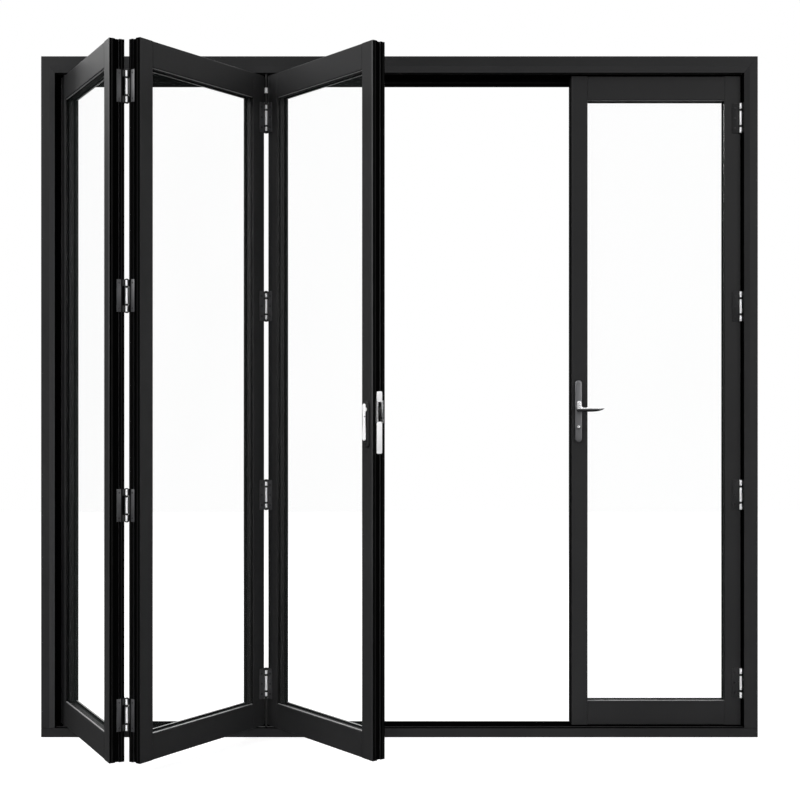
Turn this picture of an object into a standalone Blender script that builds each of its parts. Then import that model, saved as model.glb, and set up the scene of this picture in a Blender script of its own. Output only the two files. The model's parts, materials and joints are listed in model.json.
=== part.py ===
"""Bifold glass patio door: an outer frame, three folded leaves and one hinged door leaf.

Metres, +Z up. X runs along the wall and Y from the viewer into it. The origin is at the
middle of the threshold's underside. The leaves fold out towards the viewer, at -Y.
"""
from math import asin, atan2, cos, hypot, pi, radians, sin

import bmesh
import bpy
from mathutils import Matrix, Vector

# Outer frame, whose width follows from the leaves and gaps
frame_height = 2.100
frame_depth = 0.090
jamb_face = 0.041
head_face = 0.050
flat_face = 0.025
face_slope = 0.004
stop_lip = 0.020
stop_depth = 0.014
sill_height = 0.028
edge_round = 0.0015

# Track in the head and guide groove in the threshold
channel_width = 0.026
channel_height = 0.028
channel_lip = 0.003
slot_width = 0.012
guide_depth = 0.014

# Leaves
leaf_width = 0.527
door_width = 0.526
leaf_thickness = 0.044
leaf_setback = 0.024
stile_face = 0.050
rail_face = 0.074
leaf_round = 0.0025
bead_round = 0.001
bead_step = 0.009
hardware_groove_width = 0.012
hardware_groove_depth = 0.006
front_lip = 0.0085
pocket_depth = 0.016

# Double glazed units
unit_thickness = 0.024
pane_thickness = 0.004
spacer_width = 0.011
unit_play = 0.003
gas_port = 0.004
cut_margin = 0.010

# Clearances
seat_gap = 0.0003
leaf_gap = 0.004
door_gap = 0.005
head_gap = 0.006
sill_gap = 0.005

# How far the leaves stand open in their folded stack
leaf_1_open = radians(61.2)
leaf_3_open = radians(50.8)
pivot_inset = 0.025
pivot_depth = 0.012
pivot_radius = 0.006
pivot_flange = 0.011
pivot_flange_height = 0.0016

# Hinges
barrel_radius = 0.0050
barrel_clearance = 0.0005
hinge_length = 0.095
knuckle_end = 0.024
knuckle_split = 0.0010
split_depth = 0.0012
hinge_pin_radius = 0.0028
hinge_bore_clearance = 0.0004
hinge_end_margin = 0.083
hinge_rows = 4
flap_width = 0.026
flap_thickness = 0.0022
end_plate_width = 0.015
end_plate_thickness = 0.0014
end_plate_setback = 0.008
end_plate_arm_root = 0.00125
jamb_hinge_offset = 0.0065
jamb_flap_thickness = 0.0018
jamb_arm_root = 0.0034
lap = 0.001

# Carriage in the track and guide in the threshold
wheel_radius = 0.010
wheel_width = 0.005
wheel_base = 0.050
carriage_width = 0.010
carriage_height = 0.016
stem_radius = 0.0035

# Lever handle on the door leaf
plate_length = 0.192
plate_width = 0.021
plate_thickness = 0.009
plate_backset = 0.0216
plate_drop = 0.010
lever_height = 1.015
lever_reach = 0.050
lever_length = 0.074
lever_thickness = 0.010
lever_depth = 0.013
lever_tip = 0.003
lever_taper = 2.4
lever_belly_steps = 6
lever_round = 0.0018
hub_rise = 0.023
hub_width = 0.014
neck_radius = 0.0070
neck_clearance = 0.0008
cylinder_drop = 0.058
cylinder_radius = 0.0085
cylinder_proud = 0.004
keyway_width = 0.0024
keyway_length = 0.010

# Keep and bolt lever on the leading folded leaf
keep_length = 0.175
keep_width = 0.019
keep_thickness = 0.003
keep_round = 0.004
keep_drop = 0.038
keep_window_length = 0.055
keep_window_width = 0.013
keep_window_rise = 0.030
bolt_plate_length = 0.128
bolt_plate_width = 0.022
bolt_plate_thickness = 0.006
bolt_plate_backset = 0.0245
bolt_pivot_height = 1.014
bolt_plate_drop = 0.042
bolt_boss_radius = 0.009
bolt_lever_length = 0.090
bolt_lever_width = 0.013
bolt_lever_thickness = 0.007
bolt_lever_gap = 0.005

# Places worked out from the sizes above
front = -frame_depth / 2
clear_width = 3 * (leaf_width + leaf_gap) + door_width + leaf_gap + door_gap
frame_width = clear_width + 2 * jamb_face
inner_right = clear_width / 2
inner_left = -inner_right
leaf_bottom = sill_height + sill_gap
leaf_height = frame_height - head_face - head_gap - leaf_bottom
leaf_front = front + leaf_setback
pin_offset = barrel_radius + barrel_clearance
track_y = leaf_front - pin_offset
stile_body = stile_face - pocket_depth
plate_height = lever_height - plate_drop
keep_height = lever_height - keep_drop
bolt_plate_height = bolt_pivot_height - bolt_plate_drop
stop_front = frame_depth - stop_depth
mitre_slope = head_face / jamb_face
along_x = Matrix(((0, 0, 1, 0), (1, 0, 0, 0), (0, 1, 0, 0), (0, 0, 0, 1)))

parts = bpy.data.collections.new("bifold_patio_door")
cutters = bpy.data.collections.new("cutters")


def start_empty_scene():
    for old in list(bpy.data.objects):
        bpy.data.objects.remove(old, do_unlink=True)
    bpy.context.scene.collection.children.link(parts)
    bpy.context.scene.collection.children.link(cutters)


def make_material(name, colour, roughness, metallic, alpha=1.0):
    material = bpy.data.materials.new(name)
    material.use_nodes = True
    shader = material.node_tree.nodes["Principled BSDF"]
    shader.inputs["Base Color"].default_value = (*colour, 1.0)
    shader.inputs["Roughness"].default_value = roughness
    shader.inputs["Metallic"].default_value = metallic
    shader.inputs["Alpha"].default_value = alpha
    return material


def make_materials():
    return {
        "coated": make_material("black_powder_coat", (0.022, 0.022, 0.023), 0.45, 0.0),
        "glass": make_material("clear_glass", (0.85, 0.92, 0.90), 0.05, 0.0, 0.35),
        "steel": make_material("satin_steel", (0.62, 0.62, 0.63), 0.28, 1.0),
        "hinge": make_material("hinge_metal", (0.33, 0.33, 0.34), 0.35, 1.0),
        "track": make_material("track_nylon", (0.05, 0.05, 0.05), 0.5, 0.0),
    }


def add_object(name, mesh, look, parent=None, location=(0, 0, 0), rotation=(0, 0, 0)):
    piece = bpy.data.objects.new(name, mesh)
    piece.location = location
    piece.rotation_euler = rotation
    piece.parent = parent
    if look is not None:
        mesh.materials.clear()
        mesh.materials.append(look)
    parts.objects.link(piece)
    return piece


def add_empty(name, location, turn=0.0, parent=None):
    empty = bpy.data.objects.new(name, None)
    empty.location = location
    empty.rotation_euler = (0, 0, turn)
    empty.empty_display_size = 0.05
    empty.parent = parent
    parts.objects.link(empty)
    return empty


def rounded(corners, steps=3):
    """Replace each corner (x, y, radius) of a closed outline by an arc of that radius."""
    outline = []
    for index, (x, y, radius) in enumerate(corners):
        here = Vector((x, y))
        if radius == 0:
            outline.append(here)
            continue
        before = Vector(corners[index - 1][:2]) - here
        after = Vector(corners[(index + 1) % len(corners)][:2]) - here
        before.normalize()
        after.normalize()
        centre = here + (before + after) * radius
        for step in range(steps + 1):
            angle = step / steps * pi / 2
            outline.append(centre - after * radius * cos(angle) - before * radius * sin(angle))
    return outline


def extruded(outlines, length):
    """A prism along Z from a flat outline, with any further outlines as holes."""
    curve = bpy.data.curves.new("outline", "CURVE")
    curve.dimensions = "2D"
    curve.fill_mode = "BOTH"
    curve.extrude = length / 2
    for outline in outlines:
        spline = curve.splines.new("POLY")
        spline.points.add(len(outline) - 1)
        for point, place in zip(spline.points, outline):
            point.co = (place[0], place[1], 0.0, 1.0)
        spline.use_cyclic_u = True
    mesh = mesh_from_curve(curve)
    mesh.transform(Matrix.Translation((0, 0, length / 2)))
    return mesh


def mesh_from_curve(curve):
    """The closed mesh of a curve, with its loose caps welded on."""
    holder = bpy.data.objects.new("outline", curve)
    cutters.objects.link(holder)
    graph = bpy.context.evaluated_depsgraph_get()
    mesh = bpy.data.meshes.new_from_object(holder.evaluated_get(graph))
    bpy.data.objects.remove(holder, do_unlink=True)
    shape = bmesh.new()
    shape.from_mesh(mesh)
    bmesh.ops.remove_doubles(shape, verts=shape.verts, dist=0.00001)
    bmesh.ops.recalc_face_normals(shape, faces=shape.faces)
    shape.to_mesh(mesh)
    shape.free()
    return mesh


def slab_mesh(low, high):
    """A box between two corners."""
    shape = bmesh.new()
    bmesh.ops.create_cube(shape, size=1.0)
    size = Vector(high) - Vector(low)
    middle = (Vector(high) + Vector(low)) / 2
    bmesh.ops.scale(shape, verts=shape.verts, vec=size)
    bmesh.ops.translate(shape, verts=shape.verts, vec=middle)
    mesh = bpy.data.meshes.new("slab")
    shape.to_mesh(mesh)
    shape.free()
    return mesh


def rod_mesh(radius, start, end, sides=20):
    """A round bar between two points."""
    shape = bmesh.new()
    run = Vector(end) - Vector(start)
    bmesh.ops.create_cone(
        shape, cap_ends=True, segments=sides, radius1=radius, radius2=radius, depth=run.length
    )
    turn = run.to_track_quat("Z", "Y").to_matrix().to_4x4()
    middle = (Vector(start) + Vector(end)) / 2
    bmesh.ops.transform(shape, matrix=Matrix.Translation(middle) @ turn, verts=shape.verts)
    mesh = bpy.data.meshes.new("rod")
    shape.to_mesh(mesh)
    shape.free()
    return mesh


def turned(profile, sides=20):
    """A solid of revolution about Z from (radius, height) points that start and end on it."""
    mesh = bpy.data.meshes.new("profile")
    points = [(radius, 0.0, height) for radius, height in profile]
    mesh.from_pydata(points, [(i, i + 1) for i in range(len(points) - 1)], [])
    holder = bpy.data.objects.new("profile", mesh)
    cutters.objects.link(holder)
    screw = holder.modifiers.new("turn", "SCREW")
    screw.steps = sides
    screw.render_steps = sides
    screw.use_merge_vertices = True
    screw.merge_threshold = 0.00005
    screw.use_normal_calculate = True
    graph = bpy.context.evaluated_depsgraph_get()
    solid = bpy.data.meshes.new_from_object(holder.evaluated_get(graph))
    bpy.data.objects.remove(holder, do_unlink=True)
    shape = bmesh.new()
    shape.from_mesh(solid)
    bmesh.ops.remove_doubles(shape, verts=shape.verts, dist=0.00005)
    bmesh.ops.recalc_face_normals(shape, faces=shape.faces)
    shape.to_mesh(solid)
    shape.free()
    return solid


def placed(mesh, matrix):
    mesh.transform(matrix)
    return mesh


def combine(piece, meshes, operation):
    """Join meshes to a piece, or cut them from it, with Boolean modifiers."""
    for mesh in meshes:
        tool = bpy.data.objects.new(piece.name + "_" + operation.lower(), mesh)
        tool.parent = piece.parent
        tool.location = piece.location
        tool.rotation_euler = piece.rotation_euler
        tool.hide_render = True
        tool.display_type = "WIRE"
        cutters.objects.link(tool)
        boolean = piece.modifiers.new(operation.lower(), "BOOLEAN")
        boolean.operation = operation
        boolean.solver = "EXACT"
        boolean.object = tool


def shade(piece, angle=radians(35)):
    piece.data.shade_smooth()
    piece.data.set_sharp_from_angle(angle=angle)


def shift_ends(mesh, length, start_shift, end_shift):
    """Trim a prism's two ends to slopes, each given as a function of the outline's x."""
    for vertex in mesh.vertices:
        if vertex.co.z < length / 2:
            vertex.co.z += start_shift(vertex.co.x)
        else:
            vertex.co.z -= end_shift(vertex.co.x)


def frame_outline(slope):
    """The outer frame's section: x from the outside in, y from the front to the back."""
    face = jamb_face * slope
    stop = (jamb_face + stop_lip) * slope
    return [
        (0, 0, 0),
        (0, frame_depth, 0),
        (stop, frame_depth, edge_round),
        (stop, stop_front, edge_round),
        (face, stop_front, 0),
        (face, face_slope, 0),
        (flat_face * slope, 0, 0),
    ]


def head_outline():
    """The frame's section with the track channel open on its underside."""
    face = head_face
    centre = track_y - front
    slot = slot_width / 2
    channel = channel_width / 2
    lip = face - channel_lip
    top = lip - channel_height
    track = [
        (face, centre + slot, 0),
        (lip, centre + slot, 0),
        (lip, centre + channel, 0),
        (top, centre + channel, 0),
        (top, centre - channel, 0),
        (lip, centre - channel, 0),
        (lip, centre - slot, 0),
        (face, centre - slot, 0),
    ]
    section = frame_outline(mitre_slope)
    return section[:-2] + track + section[-2:]


def square_end(x):
    return 0.0


def jamb_mitre(x):
    return x * mitre_slope + seat_gap / 2


def head_mitre(x):
    return x / mitre_slope + seat_gap / 2


def build_frame(looks):
    """Head and jambs, mitred at the top corners, on a flat threshold."""
    look = looks["coated"]
    side = frame_width / 2
    head = extruded([rounded(head_outline())], frame_width)
    shift_ends(head, frame_width, head_mitre, head_mitre)
    add_object("frame_head", head, look, None, (-side, front, frame_height), (0, pi / 2, 0))

    foot = sill_height + seat_gap
    jamb_height = frame_height - foot
    left = extruded([rounded(frame_outline(1.0))], jamb_height)
    shift_ends(left, jamb_height, square_end, jamb_mitre)
    add_object("frame_jamb_left", left, look, None, (-side, front, foot))
    right = extruded([rounded(frame_outline(1.0))], jamb_height)
    shift_ends(right, jamb_height, jamb_mitre, square_end)
    add_object("frame_jamb_right", right, look, None, (side, front, frame_height), (0, pi, 0))

    half = slot_width / 2
    back = -front
    floor = sill_height - guide_depth
    outline = [
        (front, 0, 0),
        (back, 0, 0),
        (back, sill_height, edge_round),
        (track_y + half, sill_height, 0),
        (track_y + half, floor, 0),
        (track_y - half, floor, 0),
        (track_y - half, sill_height, 0),
        (front, sill_height, edge_round),
    ]
    sill = extruded([rounded(outline)], frame_width)
    sill.transform(along_x)
    add_object("frame_threshold", sill, look, None, (-side, 0, 0))


def leaf_outline(face):
    """A leaf bar's section: x from its outer edge towards the glass, y from front to back."""
    groove_start = (leaf_thickness - hardware_groove_width) / 2
    groove_end = groove_start + hardware_groove_width
    pocket_back = front_lip + unit_thickness + 2 * seat_gap
    body = face - pocket_depth
    return [
        (0, 0, leaf_round),
        (0, groove_start, 0),
        (hardware_groove_depth, groove_start, 0),
        (hardware_groove_depth, groove_end, 0),
        (0, groove_end, 0),
        (0, leaf_thickness, leaf_round),
        (face - bead_step, leaf_thickness, bead_round),
        (face - bead_step, pocket_back, 0),
        (body, pocket_back, 0),
        (body, front_lip, 0),
        (face, front_lip, 0),
        (face, 0, edge_round),
    ]


def build_leaf(name, width, parent, corner, look, glass):
    """Two full height stiles, two rails coped between them, and the glazed unit."""
    stile = extruded([rounded(leaf_outline(stile_face))], leaf_height)
    left = Vector(corner)
    far = left + Vector((width, 0, leaf_height))
    add_object(name + "_stile_left", stile, look, parent, left)
    add_object(name + "_stile_right", stile.copy(), look, parent, far, (0, pi, 0))

    inner = stile_face - bead_step + seat_gap
    rail_length = width - 2 * inner
    rail = extruded([rounded(leaf_outline(rail_face))], rail_length)
    margin = cut_margin
    split = front_lip + seat_gap
    copes = []
    for start, end in ((-margin, bead_step), (rail_length - bead_step, rail_length + margin)):
        copes.append(slab_mesh((-margin, -margin, start), (rail_face + margin, split, end)))
    top = left + Vector((inner, 0, leaf_height))
    bottom = left + Vector((width - inner, 0, 0))
    for part, place, turn in (("_rail_top", top, pi / 2), ("_rail_bottom", bottom, -pi / 2)):
        bar = add_object(name + part, rail.copy(), look, parent, place, (0, turn, 0))
        combine(bar, [cope.copy() for cope in copes], "DIFFERENCE")

    rail_body = rail_face - pocket_depth
    edge = stile_body + unit_play
    low = Vector((edge, split, rail_body + seat_gap))
    high = Vector((width - edge, split + unit_thickness, leaf_height - rail_body - unit_play))
    unit = add_object(name + "_glass", slab_mesh(low, high), glass, parent, left)
    inset = Vector((spacer_width, pane_thickness, spacer_width))
    middle = (low.x + high.x) / 2
    depth = (low.y + high.y) / 2
    port_low = (middle - gas_port / 2, depth - gas_port / 2, high.z - 2 * spacer_width)
    port_high = (middle + gas_port / 2, depth + gas_port / 2, high.z + margin)
    cavity = slab_mesh(low + inset, high - inset)
    combine(unit, [cavity, slab_mesh(port_low, port_high)], "DIFFERENCE")


def hinge_heights():
    first = leaf_bottom + hinge_end_margin + hinge_length / 2
    last = leaf_bottom + leaf_height - hinge_end_margin - hinge_length / 2
    step = (last - first) / (hinge_rows - 1)
    return [first + row * step for row in range(hinge_rows)]


def barrel_profile(middle_profile):
    """Half section of a hinge barrel: two end knuckles, and what lies between their splits."""
    half = hinge_length / 2
    split = half - knuckle_end + knuckle_split / 2
    top = [(0, half), (barrel_radius - edge_round, half), (barrel_radius, half - edge_round)]
    top.append((barrel_radius, split))
    bottom = [(radius, -height) for radius, height in reversed(top)]
    return top + middle_profile + bottom


def whole_barrel():
    """A barrel whose middle knuckle is part of it, with its two splits cut as grooves."""
    root = barrel_radius - split_depth
    outer = hinge_length / 2 - knuckle_end + knuckle_split / 2
    inner = outer - knuckle_split
    middle = [(root, outer), (root, inner), (barrel_radius, inner)]
    middle += [(radius, -height) for radius, height in reversed(middle)]
    return turned(barrel_profile(middle))


def pinned_barrel():
    """The two end knuckles on a bare pin, which the middle knuckle turns on."""
    outer = hinge_length / 2 - knuckle_end + knuckle_split / 2
    return turned(barrel_profile([(hinge_pin_radius, outer), (hinge_pin_radius, -outer)]))


def face_flap(side, back, turn):
    """A flap screwed to a leaf's face, from the barrel outwards on one side of the pin."""
    half = hinge_length / 2
    near = pin_offset - seat_gap - flap_thickness
    far = pin_offset - seat_gap
    ys = sorted((back * near, back * far))
    xs = sorted((side * lap, side * flap_width))
    inset = knuckle_split
    flap = slab_mesh((xs[0], ys[0], inset - half), (xs[1], ys[1], half - inset))
    return placed(flap, Matrix.Rotation(turn, 4, "Z"))


def end_plate(side, back, turn, arms_at_ends):
    """A plate on a leaf's end face, with arms to the barrel at its ends or at its middle."""
    half = hinge_length / 2 - 2 * knuckle_split
    split = hinge_length / 2 - knuckle_end
    near = pin_offset + end_plate_setback
    far = near + end_plate_width
    root = end_plate_arm_root
    if arms_at_ends:
        cut = split + knuckle_split
        inner = [(root, half), (root, cut), (near, cut), (near, -cut), (root, -cut), (root, -half)]
    else:
        cut = split - knuckle_split
        inner = [(near, half), (near, cut), (root, cut), (root, -cut), (near, -cut), (near, -half)]
    plate = extruded([[(far, -half), (far, half)] + inner], end_plate_thickness)
    stand = Matrix(((0, 0, side, 0), (back, 0, 0, 0), (0, 1, 0, 0), (0, 0, 0, 1)))
    offset = side * (leaf_gap / 2 - seat_gap - end_plate_thickness)
    plate.transform(Matrix.Translation((offset, 0, 0)) @ stand)
    if side * back < 0:
        plate.flip_normals()
    return placed(plate, Matrix.Rotation(turn, 4, "Z"))


def build_stack_hinges(name, pin, left_turn, right_turn, back, with_end_plates, look):
    """One hinge in each row between two folded leaves. back is +1 where the leaves lie
    behind the pin, and -1 where they lie in front of it."""
    for row, height in enumerate(hinge_heights()):
        barrel = whole_barrel()
        place = (pin.x, pin.y, height)
        hinge = add_object(f"{name}_{row + 1}", barrel, look, None, place)
        pieces = [face_flap(-1, back, left_turn), face_flap(1, back, right_turn)]
        if with_end_plates:
            pieces.append(end_plate(-1, back, left_turn, True))
            pieces.append(end_plate(1, back, right_turn, False))
        combine(hinge, pieces, "UNION")
        shade(hinge)


def build_door_hinges(pin, door, look):
    """Hinges of the door leaf: a knuckle and flap that swing on a pin held by the jamb."""
    half = hinge_length / 2
    split = half - knuckle_end
    gap = knuckle_split / 2
    bore = hinge_pin_radius + hinge_bore_clearance
    reach = barrel_radius + 2 * barrel_clearance
    wall = bore + hinge_bore_clearance
    near = pin_offset - seat_gap - flap_thickness
    far = pin_offset - seat_gap
    face = jamb_hinge_offset - seat_gap
    flap_back = track_y - front - face_slope - edge_round
    for row, height in enumerate(hinge_heights()):
        spool = pinned_barrel()
        fixed = add_object(f"door_hinge_jamb_{row + 1}", spool, look, None, (pin.x, pin.y, height))
        plate = slab_mesh((face - jamb_flap_thickness, -flap_back, -half), (face, -reach, half))
        tabs = [plate]
        for low, high in ((split + gap, half), (-half, -split - gap)):
            tabs.append(slab_mesh((jamb_arm_root, -reach - lap, low), (face, lap, high)))
        combine(fixed, tabs, "UNION")
        shade(fixed)

        sleeve = rod_mesh(barrel_radius, (0, 0, gap - split), (0, 0, split - gap))
        moving = add_object(f"door_hinge_leaf_{row + 1}", sleeve, look, door, (0, 0, height))
        flap = slab_mesh((-flap_width, near, -half), (-reach - seat_gap, far, half))
        tab = slab_mesh((-reach - lap, near, gap - split), (-wall, far, split - gap))
        combine(moving, [flap, tab], "UNION")
        hole = rod_mesh(bore, (0, 0, -half), (0, 0, half))
        combine(moving, [hole], "DIFFERENCE")
        shade(moving)


def build_pivots(pin, look):
    """Top and bottom pivots of the first leaf, between it and the frame."""
    gaps = (
        ("leaf_1_pivot_bottom", sill_height, leaf_bottom),
        ("leaf_1_pivot_top", leaf_bottom + leaf_height, frame_height - head_face),
    )
    for name, low, high in gaps:
        height = high - low - 2 * seat_gap
        flange = pivot_flange_height
        profile = [
            (0, height),
            (pivot_flange, height),
            (pivot_flange, height - flange),
            (pivot_radius, height - flange),
            (pivot_radius, flange),
            (pivot_flange, flange),
            (pivot_flange, 0),
            (0, 0),
        ]
        pivot = add_object(name, turned(profile), look, None, (pin.x, pin.y, low + seat_gap))
        shade(pivot)


def build_carriage(pin, look):
    """The hanger that runs in the head's track and the guide that runs in the threshold."""
    ceiling = frame_height - head_face + channel_lip
    axle_height = ceiling + seat_gap + wheel_radius
    top_hinge = hinge_heights()[-1] + hinge_length / 2
    body_low = ceiling + 2 * seat_gap
    body = slab_mesh(
        (-wheel_base / 2, -carriage_width / 2, body_low),
        (wheel_base / 2, carriage_width / 2, body_low + carriage_height),
    )
    hanger = add_object("track_carriage", body, look, None, (pin.x, pin.y, 0))
    stem_top = body_low + wheel_radius
    additions = [rod_mesh(stem_radius, (0, 0, top_hinge + seat_gap), (0, 0, stem_top))]
    for end in (-1, 1):
        x = end * (wheel_base / 2 - wheel_radius)
        width = carriage_width / 2 + wheel_width
        additions.append(rod_mesh(wheel_radius, (x, -width, axle_height), (x, width, axle_height)))
    combine(hanger, additions, "UNION")
    shade(hanger)

    low_hinge = hinge_heights()[0] - hinge_length / 2
    foot = sill_height - guide_depth + seat_gap
    shoe = slab_mesh(
        (-wheel_base / 2, -slot_width / 2 + seat_gap, foot),
        (wheel_base / 2, slot_width / 2 - seat_gap, sill_height - 2 * seat_gap),
    )
    guide = add_object("threshold_guide", shoe, look, None, (pin.x, pin.y, 0))
    stem = rod_mesh(stem_radius, (0, 0, foot + guide_depth / 2), (0, 0, low_hinge - seat_gap))
    combine(guide, [stem], "UNION")
    shade(guide)


def stadium(length, width, steps=8):
    """An upright outline with round ends, centred on the origin."""
    radius = width / 2
    straight = length / 2 - radius
    outline = []
    for end in (1, -1):
        for step in range(steps + 1):
            angle = step / steps * pi + (0 if end == 1 else pi)
            outline.append((radius * cos(angle), end * straight + radius * sin(angle)))
    return outline


def rectangle(width, length, radius):
    """Corners of an upright rectangle centred on the origin, each with a rounding radius."""
    x = width / 2
    y = length / 2
    return [(-x, -y, radius), (x, -y, radius), (x, y, radius), (-x, y, radius)]


def upright(mesh, outward):
    """Stand a flat plate upright, with its thickness growing along -Y or +Y."""
    if outward < 0:
        turn = Matrix.Rotation(pi / 2, 4, "X")
    else:
        turn = Matrix.Rotation(pi, 4, "Z") @ Matrix.Rotation(pi / 2, 4, "X")
    return placed(mesh, turn)


def arc(centre, radius, start, end, steps=6):
    """Points on a circle from one angle to another."""
    points = []
    for step in range(steps + 1):
        angle = start + (end - start) * step / steps
        points.append((centre[0] + radius * cos(angle), centre[1] + radius * sin(angle)))
    return points


def lever_outline():
    """A cranked lever seen from the front: an upright hub that sweeps into a tapered arm."""
    half = hub_width / 2
    top = lever_round
    low = top - lever_depth
    sweep = hub_rise - hub_width - top
    outline = arc((0, hub_rise - half), half, 0, pi)
    outline += arc((-half + lever_round, low + lever_round), lever_round, pi, 1.5 * pi, 3)
    belly = lever_length - half
    rise = lever_depth - lever_tip
    for step in range(lever_belly_steps + 1):
        share = step / lever_belly_steps
        outline.append((half + belly * share, low + rise * share ** lever_taper))
    outline.append((lever_length, top))
    outline += arc((half + sweep, top + sweep), sweep, 1.5 * pi, pi)
    return outline


def build_lever(name, outward, look, parent, place):
    """The lever's plate with softened edges, and the neck that carries it."""
    mesh = upright(extruded([lever_outline()], lever_thickness), outward)
    mesh.transform(Matrix.Translation((0, outward * (lever_reach - lever_thickness), 0)))
    if outward > 0:
        mesh.transform(Matrix.Scale(-1, 4, (1, 0, 0)))
        mesh.flip_normals()
    lever = add_object(name, mesh, look, parent, place)
    soften = lever.modifiers.new("soften", "BEVEL")
    soften.width = lever_round
    soften.segments = 2
    soften.limit_method = "ANGLE"
    soften.angle_limit = radians(50)
    neck = outward * (lever_reach - lever_thickness / 2)
    combine(lever, [rod_mesh(neck_radius, (0, 0, 0), (0, neck, 0))], "UNION")
    shade(lever)


def build_handles(door, door_offset, looks):
    """Backplates and cylinder on both faces of the door leaf, and the levers on one spindle."""
    x = door_offset + plate_backset
    faces = (("outer", pin_offset, -1), ("inner", pin_offset + leaf_thickness, 1))
    spindle = add_empty("lever_axis", (x, 0, lever_height), 0.0, door)
    hole_radius = neck_radius + neck_clearance
    for side, face, outward in faces:
        plate = upright(extruded([stadium(plate_length, plate_width)], plate_thickness), outward)
        start = face + outward * seat_gap
        place = (x, start, plate_height)
        backplate = add_object("handle_plate_" + side, plate, looks["steel"], door, place)
        drop = plate_drop - cylinder_drop
        depth = plate_thickness + cut_margin
        holes = [rod_mesh(hole_radius, (0, -depth, plate_drop), (0, depth, plate_drop))]
        holes.append(rod_mesh(cylinder_radius + seat_gap, (0, -depth, drop), (0, depth, drop)))
        combine(backplate, holes, "DIFFERENCE")
        shade(backplate)

        tip = outward * (plate_thickness + cylinder_proud)
        cylinder = rod_mesh(cylinder_radius, (0, 0, 0), (0, tip, 0))
        place = (x, start, lever_height - cylinder_drop)
        barrel = add_object("lock_cylinder_" + side, cylinder, looks["steel"], door, place)
        keyway = slab_mesh(
            (-keyway_width / 2, -cylinder_proud, -keyway_length / 2),
            (keyway_width / 2, cylinder_proud, keyway_length / 2),
        )
        keyway.transform(Matrix.Translation((0, tip, 0)))
        combine(barrel, [keyway], "DIFFERENCE")
        shade(barrel)

        place = (0, start + outward * seat_gap, 0)
        build_lever("lever_" + side, outward, looks["steel"], spindle, place)


def build_leading_edge(leaf, looks):
    """The keep on the third leaf's end face and the bolt lever on its front face."""
    outline = rounded(rectangle(keep_width, keep_length, keep_round))
    window = rectangle(keep_window_width, keep_window_length, 0)
    window = [(px, py + keep_window_rise) for px, py, radius in window]
    keep = extruded([outline, window], keep_thickness)
    keep.transform(along_x)
    place = (leaf_width + seat_gap, leaf_thickness / 2, keep_height - leaf_bottom)
    add_object("leaf_3_keep", keep, looks["steel"], leaf, place)

    x = leaf_width - bolt_plate_backset
    outline = stadium(bolt_plate_length, bolt_plate_width)
    plate = upright(extruded([outline], bolt_plate_thickness), -1)
    place = (x, -seat_gap, bolt_plate_height - leaf_bottom)
    add_object("bolt_plate", plate, looks["coated"], leaf, place)

    axis = add_empty("bolt_axis", (x, 0, bolt_pivot_height - leaf_bottom), 0.0, leaf)
    reach = seat_gap + bolt_plate_thickness + seat_gap
    outer = reach + bolt_lever_gap + bolt_lever_thickness
    boss = rod_mesh(bolt_boss_radius, (0, -reach, 0), (0, -outer, 0))
    lever = add_object("bolt_lever", boss, looks["steel"], axis)
    drop = (bolt_lever_length - bolt_lever_width) / 2
    outline = stadium(bolt_lever_length, bolt_lever_width)
    outline = [(px, py - drop) for px, py in outline]
    arm = upright(extruded([outline], bolt_lever_thickness), -1)
    arm.transform(Matrix.Translation((0, -reach - bolt_lever_gap, 0)))
    combine(lever, [arm], "UNION")
    shade(lever)


def main():
    start_empty_scene()
    looks = make_materials()
    build_frame(looks)

    pivot = Vector((inner_left + leaf_gap + pivot_inset, leaf_front + pivot_depth, 0))
    leaf_1 = add_empty("leaf_1_axis", pivot, -leaf_1_open)
    corner = (-pivot_inset, -pivot_depth, leaf_bottom)
    build_leaf("leaf_1", leaf_width, leaf_1, corner, looks["coated"], looks["glass"])
    turn_1 = Matrix.Rotation(-leaf_1_open, 3, "Z")
    across = leaf_width + leaf_gap / 2 - pivot_inset
    pin_12 = pivot + turn_1 @ Vector((across, leaf_thickness - pivot_depth + pin_offset, 0))

    span = Vector((leaf_width + leaf_gap, leaf_thickness + 2 * pin_offset, 0))
    lean = atan2(span.y, span.x)
    leaf_2_open = lean + asin((track_y - pin_12.y) / hypot(span.x, span.y))
    leaf_2 = add_empty("leaf_2_axis", pin_12, leaf_2_open)
    corner = (leaf_gap / 2, -leaf_thickness - pin_offset, leaf_bottom)
    build_leaf("leaf_2", leaf_width, leaf_2, corner, looks["coated"], looks["glass"])
    turn_2 = Matrix.Rotation(leaf_2_open, 3, "Z")
    pin_23 = pin_12 + turn_2 @ Vector((span.x, -span.y, 0))

    leaf_3 = add_empty("leaf_3_axis", pin_23 + Vector((0, 0, leaf_bottom)), -leaf_3_open)
    corner = (leaf_gap / 2, pin_offset, 0)
    face_3 = add_empty("leaf_3_corner", corner, 0.0, leaf_3)
    build_leaf("leaf_3", leaf_width, face_3, (0, 0, 0), looks["coated"], looks["glass"])

    pin_door = Vector((inner_right - jamb_hinge_offset, track_y, 0))
    door = add_empty("door_axis", pin_door)
    edge = jamb_hinge_offset - door_gap
    corner = (edge - door_width, pin_offset, leaf_bottom)
    build_leaf("door", door_width, door, corner, looks["coated"], looks["glass"])

    build_stack_hinges("hinge_1_2", pin_12, -leaf_1_open, leaf_2_open, -1, True, looks["hinge"])
    build_stack_hinges("hinge_2_3", pin_23, leaf_2_open, -leaf_3_open, 1, False, looks["hinge"])
    build_door_hinges(pin_door, door, looks["hinge"])
    build_pivots(pivot, looks["hinge"])
    build_carriage(pin_23, looks["track"])
    build_handles(door, edge - door_width, looks)
    build_leading_edge(face_3, looks)


main()
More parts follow.
